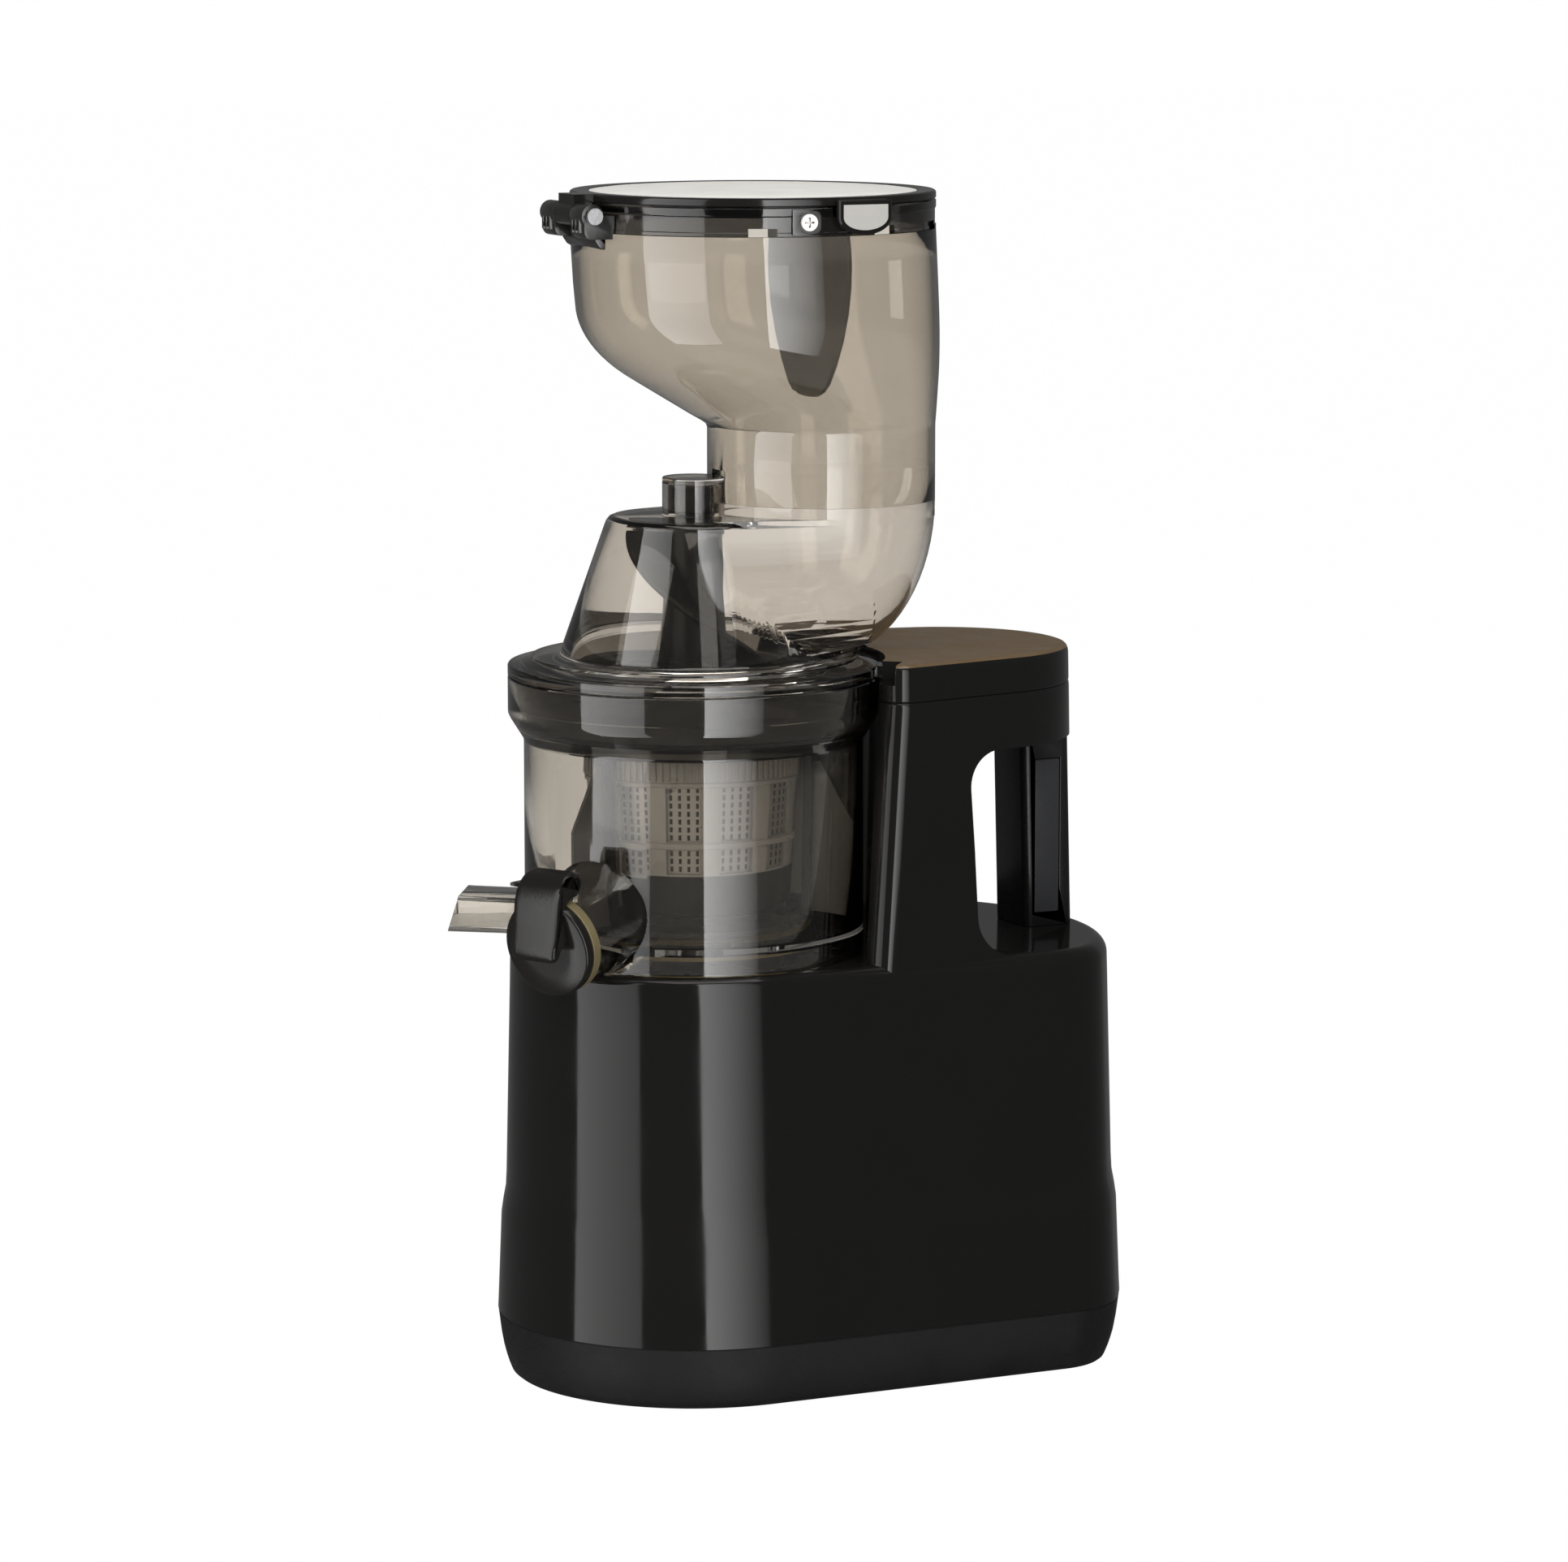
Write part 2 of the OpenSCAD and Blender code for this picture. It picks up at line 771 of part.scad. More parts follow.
// Frame of the power switch, let into the side wall
module switch_bezel() color([0.09, 0.09, 0.09]) on_axis() switch_place() {
    difference() {
        union() {
            cube([2, bezel_w, bezel_h], center = true);
            translate([8, 0, 0]) cube([15.5, switch_w - 0.4, switch_h - 0.4], center = true);
        }
        translate([-1, 0, 0]) cube([2 * rocker_r + 2, switch_w - 4, switch_h - 4], center = true);
    }
    for (y = [-1, 1])
        translate([rocker_x, y * (switch_w / 2 - 2.5), 0]) rotate([90, 0, 0])
            cylinder(r = 1.2, h = 1.6, center = true);
}

// Rocker with its two wings, turning on the bezel's pins
module power_rocker() color([0.14, 0.14, 0.14]) on_axis() switch_place()
    translate([rocker_x, 0, 0]) rotate([90, 0, 0]) difference() {
        linear_extrude(height = switch_w - 4 - 2 * seat_gap, center = true)
            polygon([[3, 0], [0, 4], [-rocker_x - 2.6, rocker_l], [-rocker_x - 0.6, 0],
                     [-rocker_x - 2.6, -rocker_l], [0, -4]]);
        cylinder(r = 1.2 + run_gap, h = 40, center = true);
    }

// Place of the cord gland: Z runs out through the rear wall, from the seat of its flange
module gland_place() {
    translate([0, base_back_y - gland_in, gland_z]) rotate([-90, 0, 0]) children();
}

// Rubber gland that the mains lead enters by, low in the rear wall
module cord_gland() color([0.08, 0.08, 0.08]) on_axis() gland_place() difference() {
    union() {
        at_z(-6) cylinder(r = gland_r - 0.1, h = 7);
        cylinder(r1 = gland_flange_r, r2 = gland_flange_r - 0.8, h = 1.8);
        at_z(-5) cylinder(r = gland_r + 1.6, h = 2);
    }
    at_z(-8) cylinder(r = 3.6, h = 30);
}

// ---- Motor, standing upright on rubber mounts behind the drive axis ----

module motor_axis() {
    translate([0, motor_y, 0]) children();
}

module mount_places() {
    motor_axis() for (a = [45:90:315]) rotate(a) translate([mount_ring_r, 0, 0]) children();
}

// Rubber blocks between the pan and the motor's lower bell
module motor_mounts() color([0.18, 0.18, 0.18]) on_axis() mount_places() {
    at_z(foot_h + pan_floor + 6) cylinder(r = mount_r, h = motor_foot_z - foot_h - pan_floor - 6);
}

// Drawn steel can, bolted under the gearbox
module motor_can() color("silver") on_axis() motor_axis() difference() {
    at_z(motor_foot_z + 3) cylinder(r = motor_r, h = motor_l - 3);
    at_z(motor_foot_z) cylinder(r = motor_r - 1.6, h = motor_l - 3);
    cylinder(r = motor_bearing_r, h = motor_top_z + 1);
    for (a = [0:30:330]) rotate(a) translate([motor_r, 0, motor_foot_z + 12])
        cube([8, 4, 8], center = true);
}

// Lower bell with the rear bearing and four ears on the rubber mounts
module motor_end_bell() color("gainsboro") on_axis() {
    difference() {
        union() {
            motor_axis() at_z(motor_foot_z) cylinder(r = motor_r, h = 3);
            mount_places() at_z(motor_foot_z) cylinder(r = mount_r + 1, h = 3);
        }
        motor_axis() cylinder(r = motor_bearing_r, h = motor_top_z);
        for (a = [0:60:300]) motor_axis() rotate(a) translate([20, 0, motor_foot_z - 1])
            cylinder(r = 5, h = 6);
    }
}

// Two bearings that carry the motor's shaft
module motor_bearings() color("lightsteelblue") on_axis() motor_axis() {
    at_z(motor_foot_z) tube(motor_bearing_r, motor_shaft_r + run_gap, 3);
    at_z(motor_top_z - 3) tube(motor_bearing_r, motor_shaft_r + run_gap, 3);
}

// Laminated ring with inward teeth
module stator_core() color([0.45, 0.45, 0.47]) on_axis() motor_axis() at_z(motor_foot_z + 13)
    difference() {
        cylinder(r = motor_r - 1.65, h = stator_h);
        at_z(-1) cylinder(r = stator_in, h = stator_h + 2);
        for (a = [0:30:330]) rotate(a) translate([stator_in + 1.5, -2.6, -1])
            cube([motor_r - stator_in - 8, 5.2, stator_h + 2]);
    }

// Copper coils, bundled in the slots and over both ends
module stator_windings() color([0.72, 0.43, 0.2]) on_axis() motor_axis() {
    for (z = [motor_foot_z + 9, motor_foot_z + 13 + stator_h])
        at_z(z) tube(motor_r - 4.5, stator_in + 1.8, 4);
    for (a = [0:30:330]) rotate(a) translate([stator_in + 2, -2.3, motor_foot_z + 13])
        cube([motor_r - stator_in - 8.8, 4.6, stator_h]);
}

// Slotted rotor stack, pressed on the shaft
module rotor_core() color([0.5, 0.5, 0.52]) on_axis() motor_axis() at_z(motor_foot_z + 13)
    difference() {
        cylinder(r = stator_in - 0.6, h = stator_h);
        at_z(-1) cylinder(r = motor_shaft_r, h = stator_h + 2);
        for (a = [0:36:324]) rotate(a) translate([stator_in - 4, -0.8, -1])
            cube([6, 1.6, stator_h + 2]);
    }

// Motor's shaft with the pinion cut at its upper end
module motor_shaft() color("silver") on_axis() motor_axis() {
    at_z(fan_z) cylinder(r = motor_shaft_r, h = first_z - 1 - fan_z);
    at_z(first_z - 1) rotate(-90) spur_gear(pinion_teeth, first_module, first_h + 2);
}

// Fan that draws air through the pan's grille
module cooling_fan() color([0.2, 0.22, 0.25]) on_axis() motor_axis() at_z(fan_z) {
    tube(motor_shaft_r + 4, motor_shaft_r, fan_h);
    at_z(fan_h - 1.5) tube(fan_r, motor_shaft_r + 3, 1.5);
    for (a = [0:40:320]) rotate(a) translate([motor_shaft_r + 3, -0.6, 0])
        cube([fan_r - motor_shaft_r - 4, 1.2, fan_h - 1]);
}

// ---- Two stage gearbox between the motor and the drive shaft ----

module lay_axis() {
    translate([0, lay_y, 0]) children();
}

module case_plan(grow) {
    hull() {
        circle(r = output_r + 2.5 + grow, $fn = 72);
        translate([0, lay_y]) circle(r = wheel_r + 3 + grow, $fn = 72);
        translate([0, motor_y]) circle(r = case_tail_r + grow, $fn = 48);
    }
}

module ear_places() {
    mirror_copy() {
        translate([ear_x, -ear_front_y, 0]) children();
        translate([ear_x, ear_back_y, 0]) children();
    }
}

module gear_case(z0, h) {
    at_z(z0) linear_extrude(height = h) case_plan(case_wall);
    ear_places() at_z(z0) cylinder(r = boss_r, h = h);
}

// Die cast case, closed by its lid
module gearbox_case() color([0.6, 0.6, 0.62]) on_axis() {
    difference() {
        gear_case(case_foot_z, case_top_z - case_foot_z);
        at_z(case_foot_z + case_wall) linear_extrude(height = 60) case_plan(0);
        motor_axis() at_z(case_foot_z - 1) cylinder(r = motor_shaft_r + 1.5, h = 10);
        ear_places() at_z(case_foot_z - 1) cylinder(r = screw_hole_r, h = 60);
    }
    at_z(case_foot_z + case_wall - eps) tube(shaft_r + 4, shaft_r + run_gap, bearing_t);
    lay_axis() at_z(case_foot_z + case_wall - eps)
        cylinder(r = lay_shaft_r + 2, h = first_z - case_foot_z - case_wall - seat_gap);
}

module gearbox_lid() color([0.55, 0.55, 0.57]) on_axis() difference() {
    union() {
        gear_case(case_top_z, lid_plate_t);
        at_z(case_top_z) cylinder(r = output_bearing_r + 2.5, h = bearing_t + 2);
    }
    at_z(case_top_z - 1) cylinder(r = output_bearing_r, h = bearing_t + 1);
    cylinder(r = shaft_r + 2, h = deck_z);
    lay_axis() at_z(case_top_z - 1) cylinder(r = lay_shaft_r, h = 3);
    ear_places() at_z(case_top_z - 1) cylinder(r = screw_hole_r, h = 60);
}

// Long screws through the case into the deck's posts
module gearbox_screws() color("silver") on_axis() ear_places()
    at_z(case_foot_z - 2) screw(screw_head_r, screw_r, 2, deck_post_z + 7 - case_foot_z);

// Fixed shaft that the second gear turns on
module layshaft() color("silver") on_axis() lay_axis()
    at_z(case_foot_z + 1 + case_wall + 2) cylinder(r = lay_shaft_r, h = case_top_z - case_foot_z - case_wall - 2);

// First wheel and second pinion in one piece
module second_gear() color([0.85, 0.82, 0.72]) on_axis() lay_axis() difference() {
    union() {
        at_z(first_z) rotate(gear_phase(-90, wheel_teeth))
            spur_gear(wheel_teeth, first_module, first_h);
        at_z(first_z + first_h - eps) rotate(-90)
            spur_gear(second_teeth, second_module, second_z + second_h - first_z - first_h);
    }
    at_z(first_z - 1) cylinder(r = lay_shaft_r + run_gap, h = 60);
}

// Output wheel, keyed to the drive shaft
module output_gear() color([0.72, 0.6, 0.35]) on_axis() at_z(second_z) difference() {
    rotate(gear_phase(-90, output_teeth)) spur_gear(output_teeth, second_module, second_h - 1);
    at_z(-1) cylinder(r = shaft_r + 1, h = 60);
    for (a = [0:60:300]) rotate(a) translate([shaft_r + 14, 0, -1])
        cylinder(r = 5, h = 60);
}

// Drive shaft with the hexagon that the auger sits on
module drive_shaft() color("silver") on_axis() {
    at_z(case_foot_z + case_wall + 1) cylinder(r = shaft_r, h = deck_z + 2 - case_foot_z - case_wall);
    at_z(second_z) cylinder(r = shaft_r + 1, h = second_h + 1);
    at_z(deck_z) cylinder(r = hex_r, h = hex_top_z - deck_z - 2, $fn = 6);
    at_z(hex_top_z - 2 - eps) intersection() {
        cylinder(r = hex_r, h = 2, $fn = 6);
        cylinder(r1 = hex_r, r2 = hex_r - 2, h = 2);
    }
}

// Upper bearing of the drive shaft, in the gearbox lid
module output_bearings() color("lightsteelblue") on_axis() {
    at_z(case_top_z) tube(output_bearing_r, shaft_r + run_gap, bearing_t);
}

// ---- Controls ----

module board_places() {
    mirror_copy() for (y = [-1, 1])
        translate([board_w / 2 - 5, board_y + y * (board_d / 2 - 5), 0]) children();
}

// Control board on four posts of the pan
module control_board() color([0.1, 0.35, 0.18]) on_axis()
    translate([0, board_y, board_z + board_t / 2])
        cube([board_w, board_d, board_t], center = true);

// Relays, heat sink, terminal block and transformer on the board
module board_parts() color([0.25, 0.25, 0.3]) on_axis() at_z(board_z + board_t) {
    translate([-34, board_y - 16, 0]) cube([16, 12, 15]);
    translate([-14, board_y - 16, 0]) cube([16, 12, 15]);
    translate([10, board_y + 2, 0]) cube([26, 18, 20]);
    translate([5, board_y - 22, 0]) cube([24, 9, 12]);
    for (i = [0:5]) translate([-34 + i * 5, board_y + 2, 0]) cube([1.6, 20, 22]);
    translate([-34, board_y + 10, 0]) cube([26.6, 3, 22]);
}

// Capacitor standing on the board
module run_capacitor() color([0.15, 0.2, 0.5]) on_axis()
    translate([36, board_y - 12, board_z + board_t]) cylinder(r = 5, h = 24);

// Reed switch behind the cradle, which the magnet in the cover's lug closes
module interlock_sensor() color([0.1, 0.4, 0.2]) on_axis() rotate(lug_angle) {
    translate([cradle_r + housing_wall + sensor_gap, -8, tower_seam_z - 16]) cube([1.6, 16, 14]);
    translate([cradle_r + housing_wall + sensor_gap + 1.6, -5, tower_seam_z - 12])
        cube([3, 10, 3]);
}

// Wires from the gland and the switch to the board, bundled along the wall
module wiring_harness() color([0.55, 0.1, 0.1]) on_axis() {
    wire([[0, base_back_y - 12, gland_z], [-34, base_back_y - 32, wire_z], [-58, 95, wire_z],
          [-58, 40, wire_z], [-44, 22, board_z + 12], [-38.4, 6, board_z + 5]]);
    wire([[-58, switch_y, wire_z], [-58, switch_y, switch_z - switch_h / 2 - 4]]);
}

module wire(points) {
    for (i = [0:len(points) - 2]) let (step = points[i + 1] - points[i])
        translate(points[i]) rotate([0, acos(step.z / norm(step)), atan2(step.y, step.x)])
            at_z(-1.2) cylinder(r = 2.2, h = norm(step) + 2.4);
}

// ---- Bowl ----

// The spout's end: Z runs out along the spout and -X points up
module spout_frame() {
    rotate(spout_dir) translate([spout_reach, 0, spout_z]) rotate([0, 90 + spout_fall, 0])
        children();
}

module pulp_frame() {
    rotate(pulp_dir) children();
}

module bowl_wall_profile() {
    polygon([[shaft_tube_in, floor_z - floor_t], [bowl_in, floor_z - floor_t],
             [bowl_in, bowl_foot_z], [bowl_r, bowl_foot_z], [bowl_r, flare_foot_z],
             [rim_r, flare_top_z], [rim_r, rim_z], [rim_in, rim_z], [rim_in, flare_top_z + 1],
             [ledge_r, ledge_z], [bowl_in, ledge_z], [bowl_in, floor_z],
             [shaft_tube_r, floor_z], [shaft_tube_r, shaft_tube_top],
             [shaft_tube_in, shaft_tube_top]]);
}

// Side view of the pulp chute, drawn in by its wall when inset
module pulp_profile(inset) {
    top = pulp_foot_z + pulp_h - 2;
    polygon([[bowl_in + 0.5 - inset, pulp_foot_z + inset],
             [bowl_r + 7, pulp_foot_z + inset],
             [pulp_reach + 8, pulp_foot_z - pulp_slope + inset],
             [pulp_reach + 8, top - pulp_slope - inset],
             [bowl_r + 7, top - inset],
             [bowl_in + 0.5 - inset, top - inset]]);
}

module pulp_tube(inset) {
    translate([0, pulp_w / 2 - inset, 0]) rotate([90, 0, 0])
        linear_extrude(height = pulp_w - 2 * inset) pulp_profile(inset);
}

// Oblique end of the pulp chute, longer at its foot and on its far side
module pulp_end_cut() {
    translate([pulp_reach, 0, pulp_foot_z + pulp_h / 2]) rotate([0, -18, 30])
        translate([0, -60, -40]) cube([60, 120, 80]);
}

// Clear bowl with its juice spout, pulp chute and the lug of the juice cap
module juice_bowl() color([0.42, 0.38, 0.34, 0.5]) on_axis() {
    difference() {
        union() {
            rotate_extrude() bowl_wall_profile();
            difference() {
                spout_frame() at_z(-spout_reach + bowl_in) cylinder(r = spout_r, h = spout_reach - bowl_in);
                cylinder(r = bowl_in + 0.5, h = rim_z);
            }
            spout_frame() cap_lug();
            pulp_frame() difference() {
                pulp_tube(0);
                pulp_tube(pulp_wall);
                pulp_end_cut();
            }
            pulp_frame() translate([pulp_hole_r - pulp_wall, -pulp_w / 2, bowl_foot_z])
                cube([bowl_in - pulp_hole_r + 2, pulp_w, floor_z - floor_t - bowl_foot_z + 0.5]);
            pulp_frame() translate([bowl_r - 1, -8, pulp_foot_z + pulp_h + 0.5])
                cube([18, 16, 1.6]);
        }
        difference() {
            spout_frame() at_z(-spout_reach + bowl_in - 4) cylinder(r = spout_in, h = spout_reach);
            cylinder(r = bowl_r, h = floor_z);
        }
        pulp_frame() translate([pulp_hole_r, -pulp_w / 2 + pulp_wall, bowl_foot_z + 1.2])
            cube([bowl_r - pulp_hole_r + 1, pulp_w - 2 * pulp_wall,
                  floor_z - floor_t - bowl_foot_z - 1.2]);
        pulp_frame() translate([pulp_hole_r, -9, floor_z - 5]) cube([pulp_hole_l, 18, 10]);
        spout_frame() translate([-cap_pin_up, 0, -cap_pin_back]) rotate([90, 0, 0])
            cylinder(r = cap_pin_r + run_gap, h = 60, center = true);
        rotate(idler_dir) translate([idler_dist, 0, floor_z - 1.5])
            cylinder(r = idler_pin_r + 0.02, h = 5);
    }
}

// Lug on the spout that carries the cap's pin
module cap_lug() {
    translate([-cap_pin_up, 0, -cap_pin_back]) rotate([90, 0, 0])
        cylinder(r = cap_lug_r, h = cap_lug_w, center = true);
    translate([-cap_pin_up, -cap_lug_w / 2, -cap_pin_back - cap_lug_r])
        cube([cap_pin_up - spout_in - 0.5, cap_lug_w, 2 * cap_lug_r]);
}

// Silicone ring under the floor that closes the pulp outlet
module bowl_gasket() color([0.40, 0.35, 0.22]) on_axis() difference() {
    at_z(floor_z - floor_t - 4) tube(46, 34, 4);
    pulp_frame() translate([0, -pulp_w / 2 - seat_gap, 0])
        cube([80, pulp_w + 2 * seat_gap, floor_z]);
}

// Black cap that closes the juice spout, with its lever
module juice_cap() color([0.12, 0.115, 0.11]) on_axis() spout_frame() difference() {
    union() {
        difference() {
            at_z(seat_gap) cylinder(r = cap_disc_r, h = cap_disc_t);
            at_z(seat_gap - eps) cylinder(r = spout_in - 2, h = 1.6);
        }
        translate([0, cap_lever_w / 2, 0]) rotate([90, 0, 0])
            linear_extrude(height = cap_lever_w) cap_lever();
    }
    translate([-cap_pin_up, 0, -cap_pin_back]) rotate([90, 0, 0]) {
        cylinder(r = cap_pin_r + run_gap, h = 60, center = true);
        cylinder(r = cap_lug_r + seat_gap, h = cap_lug_w + 2 * seat_gap, center = true);
    }
    translate([-cap_pin_up, -cap_lug_w / 2 - seat_gap, -cap_pin_back - 20]) {
        cube([12, cap_lug_w + 2 * seat_gap, 20 + cap_lug_r + seat_gap]);
        translate([-8, 0, 0]) cube([20, cap_lug_w + 2 * seat_gap, 20]);
    }
}

module cap_lever() {
    up = -cap_pin_up;
    translate([up, -cap_pin_back]) circle(r = cap_knuckle_r);
    polygon([[up - cap_knuckle_r, -cap_pin_back], [up - cap_knuckle_r + 0.6, -1],
             [up + 1, 5], [-10, 9.5], [-1.5, 12.5], [1.5, 12.5], [2, 11], [-0.5, 8.5],
             [-1.5, seat_gap + 2], [-spout_r, seat_gap + 1], [up + 3.4, -3]]);
}

// Olive silicone sleeve on the end of the spout
module spout_seal() color([0.36, 0.32, 0.22]) on_axis() spout_frame() difference() {
    at_z(-seal_l) tube(spout_r + 1.3, spout_r + 0.02, seal_l);
    translate([-cap_pin_up, -cap_lug_w / 2 - 0.1, -20]) cube([20, cap_lug_w + 0.2, 40]);
}

// Steel pin of the juice cap
module cap_pin() color("silver") on_axis() spout_frame()
    translate([-cap_pin_up, 0, -cap_pin_back]) rotate([90, 0, 0])
        cylinder(r = cap_pin_r, h = cap_lever_w - 1, center = true);

// ---- Wiper drive: the auger's pinion turns the idler, the idler turns the wiper ----

module idler_gear() color([0.85, 0.84, 0.8]) on_axis() rotate(idler_dir)
    translate([idler_dist, 0, gear_foot_z]) rotate(-idler_dir) difference() {
        rotate(gear_phase(idler_dir, idler_teeth))
            spur_gear(idler_teeth, bowl_module, bowl_gear_h);
        at_z(-1) cylinder(r = idler_pin_r + run_gap, h = 20);
    }

module idler_pin() color("silver") on_axis() rotate(idler_dir) translate([idler_dist, 0, 0])
    at_z(floor_z - 1.5) cylinder(r = idler_pin_r, h = bowl_gear_h + 1.8);

module wiper_places() {
    for (a = [0:120:240]) rotate(wiper_start + a) children();
}

// Turning frame between the strainer and the bowl, with its ring gear below
module wiper_frame() color([0.55, 0.54, 0.52]) on_axis() {
    at_z(gear_foot_z) difference() {
        cylinder(r = ring_gear_r, h = bowl_gear_h);
        at_z(-1) rotate(idler_dir + 180 / ring_teeth)
            gear_cutter(ring_teeth, bowl_module, bowl_gear_h + 2);
    }
    at_z(gear_foot_z) tube(wiper_r + 1.5, ring_gear_r - 0.5, 2);
    wiper_places() translate([wiper_r - 1.5, -4, gear_foot_z])
        cube([wiper_post_t, 8, wiper_top_z - gear_foot_z]);
    at_z(wiper_top_z - wiper_ring_h) tube(wiper_r + 1.5, wiper_r - 1.5, wiper_ring_h);
}

// Silicone blades: one edge sweeps the strainer, the other sweeps the bowl
module wiper_blades() color([0.62, 0.62, 0.62]) on_axis() wiper_places() {
    translate([0, 0.7, 0]) rotate([90, 0, 0]) linear_extrude(height = 1.4) {
        polygon([[wiper_r - 1.5, strainer_foot_z + 4], [wiper_r - 1.5, wiper_top_z - 4],
                 [strainer_top_r + 0.4, wiper_top_z - 4],
                 [strainer_foot_r + 0.9, strainer_foot_z + 4]]);
        polygon([[wiper_r + 1.5, gear_foot_z + 3], [bowl_in - 0.5, gear_foot_z + 3],
                 [bowl_in - 0.5, gear_foot_z + 40], [wiper_r + 4, wiper_top_z - 6],
                 [wiper_r + 1.5, wiper_top_z - 6]]);
    }
}

// ---- Strainer ----

function strainer_r(z) =
    strainer_foot_r + (strainer_top_r - strainer_foot_r)
    * (z - strainer_foot_z) / (ledge_z - strainer_foot_z);

module windows(z0, z1, w) {
    for (i = [0:window_count - 1]) rotate(i * 360 / window_count)
        translate([strainer_foot_r - 6, -w / 2, z0]) cube([12, w, z1 - z0]);
}

// Strainer cup, hung in the bowl by its flange
module strainer_frame() color([0.5, 0.48, 0.46]) on_axis() difference() {
    rotate_extrude() polygon([
        [strainer_hole_r, strainer_foot_z], [strainer_foot_r, strainer_foot_z],
        [strainer_top_r, ledge_z], [strainer_flange_r, ledge_z],
        [strainer_flange_r, ledge_z + strainer_flange_t],
        [strainer_top_r - strainer_wall, ledge_z + strainer_flange_t],
        [strainer_foot_r - strainer_wall, strainer_foot_z + 2],
        [strainer_hole_r, strainer_foot_z + 2]]);
    windows(mesh_foot_z, mesh_top_z, 13);
    windows(strainer_foot_z + 16.5, mesh_foot_z - 3, 13);
    pulp_frame() translate([pulp_hole_r, -9, strainer_foot_z - 1])
        cube([pulp_hole_l, 18, 6]);
}

// Steel mesh inside the windows
module strainer_mesh() color([0.75, 0.75, 0.76]) on_axis() {
    z0 = strainer_foot_z + 5;
    z1 = mesh_top_z + 3;
    rotate_extrude() polygon([
        [strainer_r(z0) - mesh_gap, z0], [strainer_r(z1) - mesh_gap, z1],
        [strainer_r(z1) - mesh_gap - 0.4, z1], [strainer_r(z0) - mesh_gap - 0.4, z0]]);
}

// ---- Auger ----

module flight_arm(reach, t) {
    translate([0, -t / 2]) square([reach - t / 2, t]);
    translate([reach - t / 2, 0]) circle(r = t / 2, $fn = 8);
}

// Squeezing screw with its pinion, hexagon socket and upper cutting blade
module auger() color([0.07, 0.07, 0.07]) on_axis() difference() {
    union() {
        at_z(gear_foot_z) rotate(idler_dir) spur_gear(auger_teeth, bowl_module, bowl_gear_h);
        rotate_extrude() polygon([
            [0, gear_top_z - eps], [sun_r - 1.7, gear_top_z - eps], [sun_r - 1.7, auger_foot_z],
            [flight_r - 6, auger_foot_z], [flight_r - 5, auger_foot_z + 8],
            [flight_r - 14, auger_neck_z], [flight_r - 19, blade_foot_z + 10],
            [11, auger_top_z - 8], [11, auger_top_z], [journal_r, auger_top_z],
            [journal_r, cone_top_z + nub_h - 4], [0, cone_top_z + nub_h - 4]]);
        at_z(auger_foot_z) linear_extrude(height = auger_neck_z - auger_foot_z, twist = 300,
                                          scale = 1.08, slices = 30, segments = 4)
            for (a = [0, 180]) rotate(a) flight_arm(flight_r, 4);
        at_z(blade_foot_z) rotate(76.5)
            linear_extrude(height = auger_top_z - 1 - blade_foot_z, twist = 190, scale = 0.72,
                           slices = 24, segments = 4)
                flight_arm(blade_r, 6);
    }
    at_z(gear_foot_z - 1) cylinder(r = shaft_tube_r + seat_gap, h = shaft_tube_top - gear_foot_z + 1.4);
    at_z(gear_foot_z - 1) cylinder(r = hex_r + hex_gap, h = hex_top_z + 1 - gear_foot_z + 1, $fn = 6);
}

// Bush in the cover's tube that steadies the top of the auger
module auger_bush() color([0.8, 0.78, 0.72]) on_axis()
    at_z(cone_top_z + 1) tube(nub_r - 2.02, journal_r + run_gap, nub_h - 4);

// ---- Cover ----

module chute_bowl(inset) {
    translate([0, chute_y, chute_joint_z]) rotate_extrude()
        polygon(concat([[0, 0]],
            [for (t = [0:7.5:90]) [(chute_r - inset) * cos(t),
                                   -(chute_bowl_h - inset) * sin(t)]]));
}

// Soft ring between the strainer's flange and the cover's skirt
module cover_seal() color([0.3, 0.3, 0.29]) on_axis()
    at_z(seal_foot_z) tube(skirt_r - 1.9, skirt_r - 6.6, cover_skirt_z - seat_gap - seal_foot_z);

// Outside of the cover: skirt, ring, step and cone
module cover_outside() {
    rotate_extrude() polygon([
        [0, cover_skirt_z], [skirt_r, cover_skirt_z], [skirt_r, rim_z + seat_gap],
        [rim_r, rim_z + seat_gap], [rim_r, cover_plate_z], [cover_step_r, cover_plate_z + 1.8],
        [cover_step_r, cover_top_z], [cone_foot_r, cover_top_z], [cone_top_r, cone_top_z],
        [0, cone_top_z]]);
}

module cover_inside() {
    rotate_extrude() polygon([
        [0, cover_skirt_z - 1], [skirt_in, cover_skirt_z - 1],
        [skirt_in, cover_plate_z - clear_wall],
        [cone_foot_r - clear_wall, cover_plate_z - clear_wall],
        [cone_foot_r - clear_wall, cover_top_z],
        [cone_top_r - clear_wall, cone_top_z - clear_wall], [0, cone_top_z - clear_wall]]);
}

